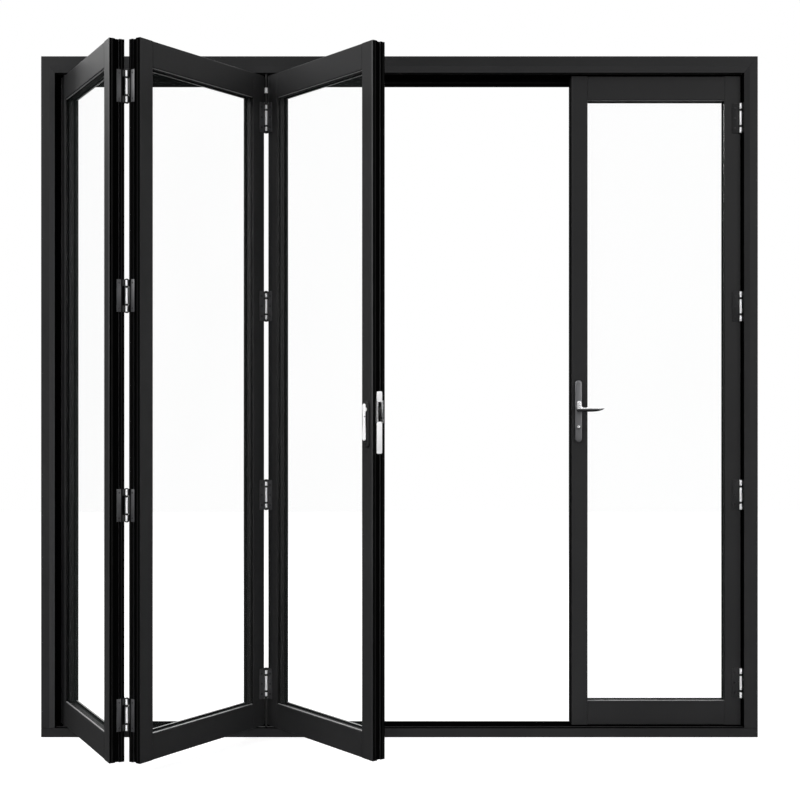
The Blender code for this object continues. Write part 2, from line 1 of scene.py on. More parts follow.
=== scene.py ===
import json
import math

import bmesh
import bpy
from mathutils import Matrix, Vector


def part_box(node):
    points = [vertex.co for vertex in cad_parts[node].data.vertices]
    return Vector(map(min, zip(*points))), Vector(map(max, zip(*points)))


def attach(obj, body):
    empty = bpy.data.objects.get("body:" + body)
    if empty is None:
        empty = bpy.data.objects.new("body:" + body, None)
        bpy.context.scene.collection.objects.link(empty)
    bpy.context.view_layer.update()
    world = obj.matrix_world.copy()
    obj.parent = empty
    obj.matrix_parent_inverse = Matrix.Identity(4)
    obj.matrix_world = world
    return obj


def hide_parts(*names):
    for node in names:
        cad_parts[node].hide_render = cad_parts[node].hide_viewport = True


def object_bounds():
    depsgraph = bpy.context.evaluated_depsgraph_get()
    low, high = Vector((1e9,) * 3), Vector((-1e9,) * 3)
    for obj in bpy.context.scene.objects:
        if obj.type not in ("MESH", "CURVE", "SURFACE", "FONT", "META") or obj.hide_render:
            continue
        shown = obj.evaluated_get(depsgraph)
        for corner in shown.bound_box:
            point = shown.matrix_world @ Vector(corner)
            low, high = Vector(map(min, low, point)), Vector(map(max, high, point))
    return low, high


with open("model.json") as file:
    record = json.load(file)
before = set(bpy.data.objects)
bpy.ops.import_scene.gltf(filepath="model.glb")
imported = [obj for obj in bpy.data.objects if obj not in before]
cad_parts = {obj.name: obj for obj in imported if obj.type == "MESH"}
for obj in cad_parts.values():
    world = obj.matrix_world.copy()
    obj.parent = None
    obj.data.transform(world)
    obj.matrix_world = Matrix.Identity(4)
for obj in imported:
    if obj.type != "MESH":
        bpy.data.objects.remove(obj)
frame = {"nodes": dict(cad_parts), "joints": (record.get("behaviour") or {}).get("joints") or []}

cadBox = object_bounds()
nodes = frame["nodes"]
upAxis = Vector((0, 0, 1))


# a shader value that can be used in sums and products
class Value:
    def __init__(self, recipe, socket):
        self.recipe = recipe
        self.socket = socket

    def maths(self, operation, first, second=0.0):
        return self.recipe.maths(operation, first, second)

    def __add__(self, other):
        return self.maths("ADD", self, other)

    def __radd__(self, other):
        return self.maths("ADD", other, self)

    def __sub__(self, other):
        return self.maths("SUBTRACT", self, other)

    def __rsub__(self, other):
        return self.maths("SUBTRACT", other, self)

    def __mul__(self, other):
        return self.maths("MULTIPLY", self, other)

    def __rmul__(self, other):
        return self.maths("MULTIPLY", other, self)

    def __truediv__(self, other):
        return self.maths("DIVIDE", self, other)

    def __pow__(self, other):
        return self.maths("POWER", self, other)

    def __abs__(self):
        return self.maths("ABSOLUTE", self)


# a node tree, and the nodes that get added to it
class Recipe:
    def __init__(self, tree):
        self.tree = tree

    def feed(self, socket, value):
        if isinstance(value, Value):
            self.tree.links.new(value.socket, socket)
        else:
            socket.default_value = value

    def node(self, kind, settings, values, output=0):
        made = self.tree.nodes.new(kind)
        for key, setting in settings.items():
            if key == "stops":
                ramp = made.color_ramp
                while len(ramp.elements) < len(setting):
                    ramp.elements.new(0.5)
                for element, (place, level) in zip(ramp.elements, setting):
                    element.position = place
                    element.color = (level, level, level, 1.0)
            else:
                setattr(made, key, setting)
        for key, value in values.items():
            self.feed(made.inputs[key], value)
        return Value(self, made.outputs[output])

    def maths(self, operation, first, second=0.0):
        return self.node("ShaderNodeMath", {"operation": operation}, {0: first, 1: second})

    def colours(self, amount, low, high):
        values = {0: amount}
        for index, colour in ((6, low), (7, high)):
            values[index] = colour if isinstance(colour, Value) else (*colour, 1.0)
        return self.node("ShaderNodeMix", {"data_type": "RGBA"}, values, 2)

    def levels(self, value, *stops):
        return self.node("ShaderNodeValToRGB", {"stops": stops}, {"Fac": value})

    def along(self, vector, direction):
        values = {0: vector, 1: tuple(direction)}
        return self.node("ShaderNodeVectorMath", {"operation": "DOT_PRODUCT"}, values, "Value")


# one procedural material
class Finish(Recipe):
    def __init__(self, name, **constants):
        self.material = bpy.data.materials.new(name)
        self.material.use_nodes = True
        super().__init__(self.material.node_tree)
        self.shader = self.tree.nodes["Principled BSDF"]
        for socketName, value in constants.items():
            self.shader.inputs[socketName.replace("_", " ")].default_value = value

    def place(self):
        return self.node("ShaderNodeTexCoord", {}, {}, "Object")

    def facing(self):
        return self.node("ShaderNodeTexCoord", {}, {}, "Normal")

    def stretched(self, scale):
        return self.node("ShaderNodeMapping", {}, {"Vector": self.place(), "Scale": scale})

    def noise(self, scale, detail=3.0, vector=None):
        values = {"Vector": vector or self.place(), "Scale": scale, "Detail": detail}
        return self.node("ShaderNodeTexNoise", {}, values)

    # where the surface lies flat, facing up or down
    def lying(self):
        return self.levels(abs(self.along(self.facing(), upAxis)), (0.5, 0.0), (0.8, 1.0))

    # the second shader shows where amount is 1
    def blend(self, amount, second):
        shaders = {0: amount, 1: Value(self, self.shader.outputs[0]), 2: Value(self, second.outputs[0])}
        mixed = self.node("ShaderNodeMixShader", {}, shaders)
        self.feed(self.tree.nodes["Material Output"].inputs["Surface"], mixed)

    def bump(self, height, distance, strength=1.0):
        values = {"Height": height, "Distance": distance, "Strength": strength}
        self.feed(self.shader.inputs["Normal"], self.node("ShaderNodeBump", {}, values))

    def show(self, **looks):
        for socketName, value in looks.items():
            self.feed(self.shader.inputs[socketName.replace("_", " ")], value)


# meshes, all in metres in the frame's own coordinates


def newPiece(name, shapes, finish, body, replaced=()):
    mesh = shapes.mesh(name)
    piece = bpy.data.objects.new(name, mesh)
    bpy.context.scene.collection.objects.link(piece)
    mesh.materials.append(finish.material)
    mesh.shade_smooth()
    mesh.set_sharp_from_angle(angle=math.radians(38))
    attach(piece, body)
    if replaced:
        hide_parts(*replaced)


def softenEdges(shape, edges, soften, steps):
    bmesh.ops.bevel(shape, geom=edges, offset=soften, segments=steps, profile=0.5, affect="EDGES")


def bridge(shape, first, second):
    # faces between two rings of as many points
    for index in range(len(first)):
        after = (index + 1) % len(first)
        shape.faces.new((first[index], first[after], second[after], second[index]))


def loft(shape, rings):
    for first, second in zip(rings, rings[1:]):
        bridge(shape, first, second)
    shape.faces.new(rings[0])
    shape.faces.new(rings[-1][::-1])


def jointPlace(name):
    return Vector(next(joint for joint in frame["joints"] if joint["name"] == name)["pos_m"])


class Shapes:
    # collects solids into one mesh
    def __init__(self):
        self.body = bmesh.new()

    def take(self, shape, matrix):
        mesh = bpy.data.meshes.new("part")
        bmesh.ops.recalc_face_normals(shape, faces=shape.faces)
        shape.to_mesh(mesh)
        shape.free()
        mesh.transform(matrix)
        if matrix.determinant() < 0:
            mesh.flip_normals()
        self.body.from_mesh(mesh)
        bpy.data.meshes.remove(mesh)

    def prism(self, matrix, outline, depth, soften=0.0, steps=2):
        # an outline in x and z, pushed along y from 0 to depth
        shape = bmesh.new()
        base = [shape.verts.new((x, 0, z)) for x, z in outline]
        face = shape.faces.new(base)
        pushed = bmesh.ops.extrude_face_region(shape, geom=[face])["geom"]
        ends = [vert for vert in pushed if isinstance(vert, bmesh.types.BMVert)]
        bmesh.ops.translate(shape, verts=ends, vec=(0, depth, 0))
        bmesh.ops.recalc_face_normals(shape, faces=shape.faces)
        if soften:
            rims = [edge for edge in shape.edges if len({round(v.co.y, 6) for v in edge.verts}) == 1]
            softenEdges(shape, rims, soften, steps)
        self.take(shape, matrix)

    def pillow(self, matrix, outline, depth, frontRound, backRound=0.0008, limits=None, steps=6):
        # an outline in x and z, taken counterclockwise, with its front edge rounded over
        shape = bmesh.new()
        count = len(outline)
        limits = limits or [frontRound] * count
        inward = []
        for index in range(count):
            before, after = outline[index - 1], outline[(index + 1) % count]
            run = Vector((after[0] - before[0], after[1] - before[1])).normalized()
            inward.append((-run.y, run.x))
        layers = []
        for step in range(steps + 1):
            angle = math.pi / 2 * step / steps
            layers.append((1 - math.sin(angle), frontRound * (1 - math.cos(angle))))
        for step in range(3):
            angle = math.pi / 2 * step / 2
            share = backRound / frontRound * (1 - math.cos(angle))
            layers.append((share, depth - backRound * (1 - math.sin(angle))))
        loops = []
        for share, level in layers:
            loop = []
            for (x, z), (turnX, turnZ), limit in zip(outline, inward, limits):
                reach = min(limit, frontRound) * share
                loop.append(shape.verts.new((x + turnX * reach, level, z + turnZ * reach)))
            loops.append(loop)
        loft(shape, loops)
        self.take(shape, matrix)

    def block(self, matrix, low, high, soften=0.0006, steps=2):
        shape = bmesh.new()
        bmesh.ops.create_cube(shape, size=1.0)
        size = Vector(high) - Vector(low)
        bmesh.ops.scale(shape, verts=shape.verts, vec=size)
        bmesh.ops.translate(shape, verts=shape.verts, vec=(Vector(high) + Vector(low)) / 2)
        soften = min(soften, min(size) * 0.45)
        softenEdges(shape, shape.edges[:], soften, steps)
        self.take(shape, matrix)

    def turned(self, matrix, profile, sides=24, lobes=None):
        # (radius, height) points turned about z; lobes shapes the rings it names into a cross
        shape = bmesh.new()
        rings = []
        closed = profile[0] == profile[-1]
        for index, (radius, height) in enumerate(profile[:-1] if closed else profile):
            if radius < 1e-6:
                rings.append([shape.verts.new((0, 0, height))])
                continue
            ring = []
            for side in range(sides):
                angle = 2 * math.pi * side / sides
                reach = radius
                if lobes and index in lobes:
                    reach = radius * (0.62 + 0.38 * math.cos(4 * angle))
                ring.append(shape.verts.new((reach * math.cos(angle), reach * math.sin(angle), height)))
            rings.append(ring)
        pairs = list(zip(rings, rings[1:]))
        if closed:
            pairs.append((rings[-1], rings[0]))
        for lower, upper in pairs:
            for side in range(sides):
                after = (side + 1) % sides
                if len(lower) == 1 and len(upper) > 1:
                    shape.faces.new((lower[0], upper[side], upper[after]))
                elif len(upper) == 1 and len(lower) > 1:
                    shape.faces.new((lower[side], upper[0], lower[after]))
                elif len(lower) > 1:
                    shape.faces.new((lower[side], upper[side], upper[after], lower[after]))
        for ring, turn in ((rings[0], 1), (rings[-1], -1)):
            if len(ring) > 1 and not closed:
                shape.faces.new(ring[::turn])
        self.take(shape, matrix)

    def surround(self, matrix, low, high, section):
        # a mitred frame round a rectangle in x and z; section is (inset, y) points
        shape = bmesh.new()
        loops = []
        for inset, depth in section:
            corners = (
                (low[0] + inset, low[1] + inset),
                (high[0] - inset, low[1] + inset),
                (high[0] - inset, high[1] - inset),
                (low[0] + inset, high[1] - inset),
            )
            loops.append([shape.verts.new((x, depth, z)) for x, z in corners])
        for here, beyond in zip(loops, loops[1:] + loops[:1]):
            bridge(shape, here, beyond)
        self.take(shape, matrix)

    def strip(self, matrix, start, end, section):
        # a straight length from start to end whose section is (across, out) points
        shape = bmesh.new()
        run = (Vector(end) - Vector(start)).normalized()
        out = Vector(section["out"])
        across = out.cross(run)
        rings = []
        for point in (start, end):
            corners = [Vector(point) + across * a + out * o for a, o in section["points"]]
            rings.append([shape.verts.new(corner) for corner in corners])
        loft(shape, rings)
        self.take(shape, matrix)

    def mesh(self, name):
        made = bpy.data.meshes.new(name)
        self.body.to_mesh(made)
        self.body.free()
        return made


def stadium(width, height, steps=10):
    outline = []
    radius = width / 2
    for end in (1, -1):
        for step in range(steps + 1):
            angle = math.pi * step / steps + (0 if end > 0 else math.pi)
            outline.append((radius * math.cos(angle), end * (height / 2 - radius) + radius * math.sin(angle)))
    return outline


def softRectangle(width, height, radius, steps=4):
    outline = []
    for quarter, (signX, signZ) in enumerate(((1, 1), (-1, 1), (-1, -1), (1, -1))):
        for step in range(steps + 1):
            angle = math.pi / 2 * (quarter + step / steps)
            x = signX * (width / 2 - radius) + radius * math.cos(angle)
            z = signZ * (height / 2 - radius) + radius * math.sin(angle)
            outline.append((x, z))
    return outline


def shifted(outline, byX, byZ):
    return [(x + byX, z + byZ) for x, z in outline]


def screwHead(shapes, matrix, radius=0.0036, rise=0.0012):
    # a countersunk head with a cross recess; its z axis points out of the surface
    profile = [
        (0, rise * 0.1),
        (radius * 0.5, rise * 0.1),
        (radius * 0.55, rise * 0.95),
        (radius * 0.82, rise),
        (radius, rise * 0.35),
        (radius, -0.0004),
        (0, -0.0004),
    ]
    shapes.turned(matrix, profile, 24, {1, 2})


def towards(place, out):
    # a place whose z axis points along out
    turn = Vector(out).to_track_quat("Z", "Y").to_matrix().to_4x4()
    return Matrix.Translation(place) @ turn


# where each leaf stands: x along it, y from its front face to its back, z up


def leafPlace(name):
    left = [v.co for v in nodes[name + "_stile_left"].data.vertices]
    right = [v.co for v in nodes[name + "_stile_right"].data.vertices]
    middleLeft = sum(left, Vector()) / len(left)
    middleRight = sum(right, Vector()) / len(right)
    along = (middleRight - middleLeft) * Vector((1, 1, 0))
    along.normalize()
    back = upAxis.cross(along)
    everything = left + right
    corner = Vector((min(p.dot(along) for p in everything), min(p.dot(back) for p in everything)))
    low = min(p.z for p in everything)
    origin = along * corner.x + back * corner.y + upAxis * low
    place = Matrix.Identity(4)
    for column, axis in enumerate((along, back, upAxis)):
        place.col[column][:3] = axis
    place.translation = origin
    size = Vector((
        max(p.dot(along) for p in everything) - corner.x,
        max(p.dot(back) for p in everything) - corner.y,
        max(p.z for p in everything) - low,
    ))
    return place, size


def localBox(place, node):
    inverse = place.inverted()
    points = [inverse @ v.co for v in nodes[node].data.vertices]
    low = Vector([min(p[axis] for p in points) for axis in range(3)])
    high = Vector([max(p[axis] for p in points) for axis in range(3)])
    return low, high


# how much painted highlight each leaf gets along its upright edges, and leaf 1 beside its pivot
leaves = {
    "leaf_1": {"body": "frame", "edgeHighlight": 0.6, "pivotHighlight": 1.0},
    "leaf_2": {"body": "frame", "edgeHighlight": 0.05, "pivotHighlight": 0.0},
    "leaf_3": {"body": "frame", "edgeHighlight": 0.5, "pivotHighlight": 0.0},
    "door": {"body": "door_leaf", "edgeHighlight": 0.05, "pivotHighlight": 0.0},
}
for leafName, leaf in leaves.items():
    leaf["place"], leaf["size"] = leafPlace(leafName)
print("leaves found:", ", ".join(leaves))


# camera, light and floor

view = {
    "distance": 4.055,
    "height": 1.04,
    "side": 0.0017,
    "lens": 58.52,
    "sensor": 36.0,
}
camera = bpy.data.cameras.new("camera")
camera.lens = view["lens"]
camera.sensor_width = view["sensor"]
cameraObject = bpy.data.objects.new("camera", camera)
cameraObject.location = (view["side"], -view["distance"], view["height"])
cameraObject.rotation_euler = (math.pi / 2, 0, 0)
bpy.context.scene.collection.objects.link(cameraObject)
bpy.context.scene.camera = cameraObject
bpy.context.scene.view_settings.view_transform = "Standard"

studio = {
    "ambient": 0.42,
    "reflected": 1.0,
    "frontReflected": 0.42,
    "lowReflected": 0.10,
    "backdrop": (1.0, 1.0, 1.0, 1.0),
    "floorSize": 16.0,
    "floorShade": 0.50,
    "floorDark": 0.14,
    "floorLift": 0.82,
}


def makeLamp(name, place, aim, size, power, spread=180):
    light = bpy.data.lights.new(name, "AREA")
    light.shape = "RECTANGLE"
    light.size, light.size_y = size
    light.energy = power
    light.spread = math.radians(spread)
    lamp = bpy.data.objects.new(name, light)
    lamp.location = place
    lamp.rotation_euler = (Vector(aim) - Vector(place)).to_track_quat("-Z", "Y").to_euler()
    bpy.context.scene.collection.objects.link(lamp)
    return lamp


makeLamp("key_softbox", (-4.2, -2.6, 3.6), (-0.3, 0, 1.2), (2.6, 2.6), 190)
makeLamp("fill_softbox", (3.6, -4.2, 2.6), (0.2, 0, 1.0), (2.6, 2.2), 60)
makeLamp("back_softbox", (0.4, 3.4, 3.4), (0, 0, 1.0), (3.0, 2.0), 70)
makeLamp("left_softbox", (-4.1, 3.0, 3.7), (-0.9, -0.2, 1.6), (1.6, 1.2), 21)
lowFill = makeLamp("low_softbox", (0.2, -4.8, 0.9), (0, 0, -0.2), (3.0, 0.8), 16, 60)
lowFill.visible_glossy = False  # metal doesn't mirror it


def makeWorld():
    world = bpy.data.worlds.new("studio")
    bpy.context.scene.world = world
    world.use_nodes = True
    sky = Recipe(world.node_tree)
    path = sky.tree.nodes.new("ShaderNodeLightPath")
    cameraRay, glossyRay, throughRay = [Value(sky, path.outputs[name]) for name in (
        "Is Camera Ray", "Is Glossy Ray", "Is Transmission Ray",
    )]
    # the studio is white all round, dimmer on the camera's side and low down on the left
    direction = sky.node("ShaderNodeTexCoord", {}, {}, "Generated")
    towardsFront = sky.levels(sky.along(direction, (0, -1, 0)), (0.45, 0.0), (0.9, 1.0))
    leftWall = sky.levels(sky.along(direction, (-0.7, 0.7, 0)), (0.3, 0.0), (0.7, 1.0))
    low = sky.levels(sky.along(direction, upAxis), (0.1, 1.0), (0.5, 0.0))
    shine = studio["reflected"] - towardsFront * (studio["reflected"] - studio["frontReflected"])
    shine = shine - leftWall * low * (studio["reflected"] - studio["lowReflected"])
    seen = sky.maths("MAXIMUM", cameraRay, throughRay)
    around = studio["ambient"] + glossyRay * (shine - studio["ambient"])
    background = sky.tree.nodes["Background"]
    background.inputs["Color"].default_value = studio["backdrop"]
    sky.feed(background.inputs["Strength"], seen + (1.0 - seen) * around)


def makeFloor():
    finish = Finish("studio_floor", Roughness=0.9, Specular_IOR_Level=0.0, Emission_Strength=1.0)
    path = finish.tree.nodes.new("ShaderNodeLightPath")
    cameraRay, glossyRay = [Value(finish, path.outputs[name]) for name in ("Is Camera Ray", "Is Glossy Ray")]
    glow = finish.colours(cameraRay * studio["floorLift"], (0.0, 0.0, 0.0), (1.0, 1.0, 1.0))
    # the floor is darker in what the metal and the coats mirror
    shade, dark = [(studio[name],) * 3 for name in ("floorShade", "floorDark")]
    finish.show(Emission_Color=glow, Base_Color=finish.colours(glossyRay, shade, dark))
    half = studio["floorSize"] / 2
    mesh = bpy.data.meshes.new("floor")
    corners = [(-half, -half, 0), (half, -half, 0), (half, half, 0), (-half, half, 0)]
    mesh.from_pydata(corners, [], [(0, 1, 2, 3)])
    mesh.materials.append(finish.material)
    floor = bpy.data.objects.new("floor", mesh)
    bpy.context.scene.collection.objects.link(floor)


makeWorld()
makeFloor()
print("camera, lamps and floor are in place")


coat = {
    "colour": (0.0146, 0.0146, 0.0151),
    "pale": (0.0182, 0.0182, 0.0187),
    "roughness": 0.42,
    "grain": 1900.0,
    "grainHeight": 0.00003,
    "gloss": 0.18,
    # black matt for the leaves' narrow sides, also laid on the frame as painted shade
    "mattBlackAndShade": (0.0012, 0.0012, 0.0012, 1.0),
    "sideDepth": 0.0075,
    # the painted highlight on the leaves' upright edges: its colour, reaches and heights
    "speckleAndSheen": (0.16, 0.16, 0.162),
    "pivotHighlightWidth": 0.018,
    "highlightHeights": (0.2, 0.75),
    "highlightWidth": 0.007,
    # colour of the painted light on the frame's moulded slope
    "slope": (0.030, 0.030, 0.031),
    "stopFace": 0.02,
}


def makeCoat(name, leaf=None):
    finish = Finish(name, Specular_IOR_Level=coat["gloss"], IOR=1.5)
    cloud = finish.levels(finish.noise(3.2, 4.0), (0.35, 0.0), (0.7, 1.0))
    fleck = finish.levels(finish.noise(420.0, 1.0), (0.62, 0.0), (0.74, 1.0))
    colour = finish.colours(cloud * 0.8 + fleck * 0.2, coat["colour"], coat["pale"])
    if leaf:
        colour = paintedEdgeHighlight(finish, leaf, colour, cloud)
    else:
        colour = paintedSlopeLight(finish, colour)
    finish.show(Base_Color=colour, Roughness=coat["roughness"] + cloud * 0.06 - fleck * 0.08)
    finish.bump(finish.noise(coat["grain"], 1.0), coat["grainHeight"], 0.5)
    # the black matt sheet: a finish on the leaves' narrow sides, painted shade on the frame
    mattBlackAndShade = finish.tree.nodes.new("ShaderNodeBsdfPrincipled")
    mattBlackAndShade.inputs["Base Color"].default_value = coat["mattBlackAndShade"]
    mattBlackAndShade.inputs["Roughness"].default_value = 0.9
    mattBlackAndShade.inputs["Specular IOR Level"].default_value = 0.0
    finish.blend(narrowSides(finish, leaf) if leaf else paintedOpeningShade(finish), mattBlackAndShade)
    return finish


def alongLeaf(finish, leaf):
    # how far a point is from the nearer upright edge, the leaf's direction and the way along it
    along = leaf["place"].col[0].xyz
    travel = finish.along(finish.place(), along) - leaf["place"].translation.dot(along)
    half = leaf["size"].x / 2
    return half - abs(travel - half), along, travel


def paintedEdgeHighlight(finish, leaf, colour, cloud):
    # painted highlight on the coat along the upright edges, strongest high up and fading downwards, and a
    # brighter painted line beside leaf 1's pivot
    depth, _, travel = alongLeaf(finish, leaf)
    start, full = coat["highlightHeights"]
    high = finish.along(finish.place(), upAxis) / leaf["size"].z
    high = finish.levels(high, (start, 0.12), (full, 1.0))
    speckleAndSheen = finish.levels(depth, (0.0, 1.0), (coat["highlightWidth"] * 0.4, 0.7), (coat["highlightWidth"], 0.0))
    pivot = finish.levels(travel, (coat["pivotHighlightWidth"], 1.0), (coat["pivotHighlightWidth"] + 0.004, 0.0))
    speckleAndSheen = speckleAndSheen * leaf["edgeHighlight"] + pivot * leaf["pivotHighlight"]
    return finish.colours(speckleAndSheen * high * (0.6 + cloud * 0.4), colour, coat["speckleAndSheen"])


def narrowSides(finish, leaf):
    # the narrow sides are matt black: the thermal break and its seals lie there
    depth, along, _ = alongLeaf(finish, leaf)
    turned = finish.levels(abs(finish.along(finish.facing(), along)), (0.55, 0.0), (0.85, 1.0))
    return turned * finish.maths("LESS_THAN", depth, coat["sideDepth"])


def paintedSlopeLight(finish, colour):
    # painted light: the moulded slope round the opening is painted a little brighter where it faces right, as
    # on the left jamb, and where it faces down, as at the head
    toRight = finish.along(finish.facing(), (1, 0, 0))
    down = finish.along(finish.facing(), (0, 0, -1))
    sideways = finish.levels(toRight, (0.12, 0.0), (0.2, 1.0), (0.4, 1.0), (0.6, 0.0))
    below = finish.levels(down, (0.12, 0.0), (0.18, 1.0), (0.4, 1.0), (0.6, 0.0))
    return finish.colours(finish.maths("MAXIMUM", sideways, below * 0.5), colour, coat["slope"])


def paintedOpeningShade(finish):
    # painted shade: the frame's faces that look into the opening, and the front faces of the stops behind the
    # leaves, get the black matt sheet where shade falls
    normal, place = finish.facing(), finish.place()
    middle = sum(corner.z for corner in cadBox) / 2
    upright = finish.along(normal, upAxis) * (middle - finish.along(place, upAxis))
    sideways = finish.along(normal, (-1, 0, 0)) * finish.along(place, (1, 0, 0))
    inward = finish.levels(finish.maths("MAXIMUM", upright, sideways), (0.5, 0.0), (0.8, 1.0))
    front = finish.maths("GREATER_THAN", finish.along(normal, (0, -1, 0)), 0.5)
    stop = front * finish.maths("GREATER_THAN", finish.along(place, (0, 1, 0)), coat["stopFace"])
    return finish.maths("MAXIMUM", inward, stop)


def makeRubber():
    finish = Finish("seal_rubber", Specular_IOR_Level=0.06)
    cloud = finish.noise(24.0, 3.0)
    finish.show(Base_Color=finish.colours(cloud, (0.0015, 0.0015, 0.0015), (0.0055, 0.0055, 0.0055)))
    finish.show(Roughness=0.62 + cloud * 0.2)
    finish.bump(finish.noise(900.0, 2.0), 0.00004, 0.6)
    return finish


def makeGlass():
    finish = Finish("clear_pane", Roughness=0.03, IOR=1.5, Specular_IOR_Level=0.5)
    rim = finish.node("ShaderNodeLayerWeight", {}, {"Blend": 0.28}, "Facing")
    streak = finish.levels(finish.noise(2.4, 3.0), (0.45, 0.0), (0.8, 1.0))
    finish.show(Base_Color=finish.colours(rim, (0.50, 0.56, 0.54), (0.05, 0.09, 0.08)))
    finish.show(Alpha=0.006 + rim ** 5.0 * 0.10 + streak * 0.003)
    return finish


def makeSpacer():
    finish = Finish("black_spacer", Specular_IOR_Level=0.3)
    pores = finish.node("ShaderNodeTexVoronoi", {}, {"Vector": finish.place(), "Scale": 330.0})
    hole = finish.levels(pores, (0.16, 1.0), (0.24, 0.0))
    finish.show(Base_Color=finish.colours(hole, (0.006, 0.006, 0.006), (0.001, 0.001, 0.001)))
    finish.show(Roughness=0.42 + finish.noise(60.0, 2.0) * 0.16)
    finish.bump(1.0 - hole, 0.0002, 0.6)
    return finish


def makeStripHighlight():
    # painted highlight: silver where the strip lies flat along the rails, and dark where it stands beside the
    # stiles
    finish = Finish("glazing_strip", Metallic=0.4, Specular_IOR_Level=0.4)
    cloud = finish.noise(45.0, 3.0)
    silverHighlight = finish.colours(cloud, (0.34, 0.34, 0.34), (0.52, 0.52, 0.52))
    finish.show(Base_Color=finish.colours(finish.lying(), (0.004, 0.004, 0.004), silverHighlight))
    finish.show(Roughness=0.30 + cloud * 0.20)
    return finish


def makeBrushed(name, look):
    finish = Finish(name, Metallic=look["metallic"], Specular_IOR_Level=0.5)
    lines = finish.noise(1.0, 4.0, finish.stretched(look["stretch"]))
    cloud = finish.noise(30.0, 2.0)
    finish.show(Base_Color=finish.colours(lines * 0.7 + cloud * 0.3, look["low"], look["high"]))
    finish.show(Roughness=look["roughness"] + lines * 0.10)
    finish.bump(lines, 0.00002, 0.5)
    return finish


leverLook = {
    "metallic": 0.75,
    "stretch": (30.0, 700.0, 700.0),
    "low": (0.84, 0.84, 0.85),
    "high": (0.95, 0.95, 0.96),
    # colours of the painted shade below the middle of the arm
    "paintedShadeLow": (0.020, 0.020, 0.021),
    "paintedShadeHigh": (0.050, 0.050, 0.052),
    "roughness": 0.22,
    "shadeReach": 0.01,
}


def makeLeverSteel():
    # bright on the hub and along the top of the arm, with painted shade below its middle
    finish = Finish("polished_lever", Metallic=leverLook["metallic"], Specular_IOR_Level=0.5)
    lines = finish.noise(1.0, 4.0, finish.stretched(leverLook["stretch"]))
    height = finish.along(finish.place(), upAxis) - jointPlace("lever_press").z
    paintedShade = finish.colours(lines, leverLook["paintedShadeLow"], leverLook["paintedShadeHigh"])
    under = finish.levels(height / leverLook["shadeReach"] + 1.0, (0.62, 1.0), (0.95, 0.0))
    bright = finish.colours(lines, leverLook["low"], leverLook["high"])
    finish.show(Base_Color=finish.colours(under, bright, paintedShade))
    finish.show(Roughness=leverLook["roughness"] + lines * 0.10)
    finish.bump(lines, 0.00002, 0.5)
    return finish


def makeHingeGrey():
    finish = Finish("hinge_grey", Metallic=0.35, Specular_IOR_Level=0.5)
    cloud = finish.noise(55.0, 4.0)
    speckleAndSheen = finish.levels(finish.noise(260.0, 3.0), (0.58, 0.0), (0.72, 1.0))
    grey = finish.colours(cloud * 0.7 + speckleAndSheen * 0.3, (0.034, 0.034, 0.036), (0.080, 0.080, 0.083))
    finish.show(Base_Color=grey, Roughness=0.36 + cloud * 0.14)
    finish.bump(finish.noise(1500.0, 1.0), 0.00003, 0.5)
    return finish


def makeNylon():
    finish = Finish("black_nylon", Specular_IOR_Level=0.35)
    cloud = finish.noise(80.0, 3.0)
    finish.show(Base_Color=finish.colours(cloud, (0.010, 0.010, 0.010), (0.020, 0.020, 0.020)))
    finish.show(Roughness=0.5 + cloud * 0.15)
    finish.bump(cloud, 0.0001, 0.3)
    return finish


frameCoat = makeCoat("frame_coat")
for leafName, leaf in leaves.items():
    leaf["coat"] = makeCoat(leafName + "_coat", leaf)
rubber = makeRubber()
glass = makeGlass()
spacerFinish = makeSpacer()
stripHighlightFinish = makeStripHighlight()
satinSteel = makeBrushed("satin_steel", {
    "low": (0.21, 0.21, 0.218),
    "high": (0.30, 0.30, 0.309),
    "roughness": 0.30,
    "stretch": (900.0, 900.0, 26.0),
    "metallic": 1.0,
})
# near-white with little metal: polished steel whose white is painted reflection of the white studio
paintedSheenSteel = makeBrushed("steel_painted_sheen", {
    "low": (0.86, 0.86, 0.87),
    "high": (0.96, 0.96, 0.965),
    "roughness": 0.26,
    "stretch": (40.0, 40.0, 900.0),
    "metallic": 0.15,
})
darkScrew = makeBrushed("black_screw", {
    "low": (0.025, 0.025, 0.026),
    "high": (0.05, 0.05, 0.052),
    "roughness": 0.34,
    "stretch": (300.0, 300.0, 300.0),
    "metallic": 1.0,
})
leverSteel = makeLeverSteel()
hingeGrey = makeHingeGrey()
nylon = makeNylon()
print("finishes made")


def paint(finish, *names):
    # pieces kept from the solids get their finish
    for name in names:
        slots = nodes[name].material_slots
        for slot in slots:
            slot.link = "OBJECT"
            slot.material = finish.material


paint(frameCoat, "frame_head", "frame_jamb_left", "frame_jamb_right", "frame_threshold")
for leafName, leaf in leaves.items():
    for part in ("_stile_left", "_stile_right", "_rail_top", "_rail_bottom"):
        paint(leaf["coat"], leafName + part)
paint(nylon, "track_carriage", "threshold_guide")
paint(hingeGrey, "leaf_1_pivot_bottom", "leaf_1_pivot_top")


# glazing: two panes, a spacer and sealant, gaskets and the inner bead

glazing = {
    "pane": 0.004,
    "sealant": 0.004,
    "spacer": 0.0072,
    "gasketSight": 0.0006,
    "beadRound": 0.0035,
    "beadHeight": 0.0088,
    "stripRise": 0.0010,
    "stripDepth": 0.0050,
    "spacerNotch": 0.0012,
    "beadSetback": 0.0012,
}


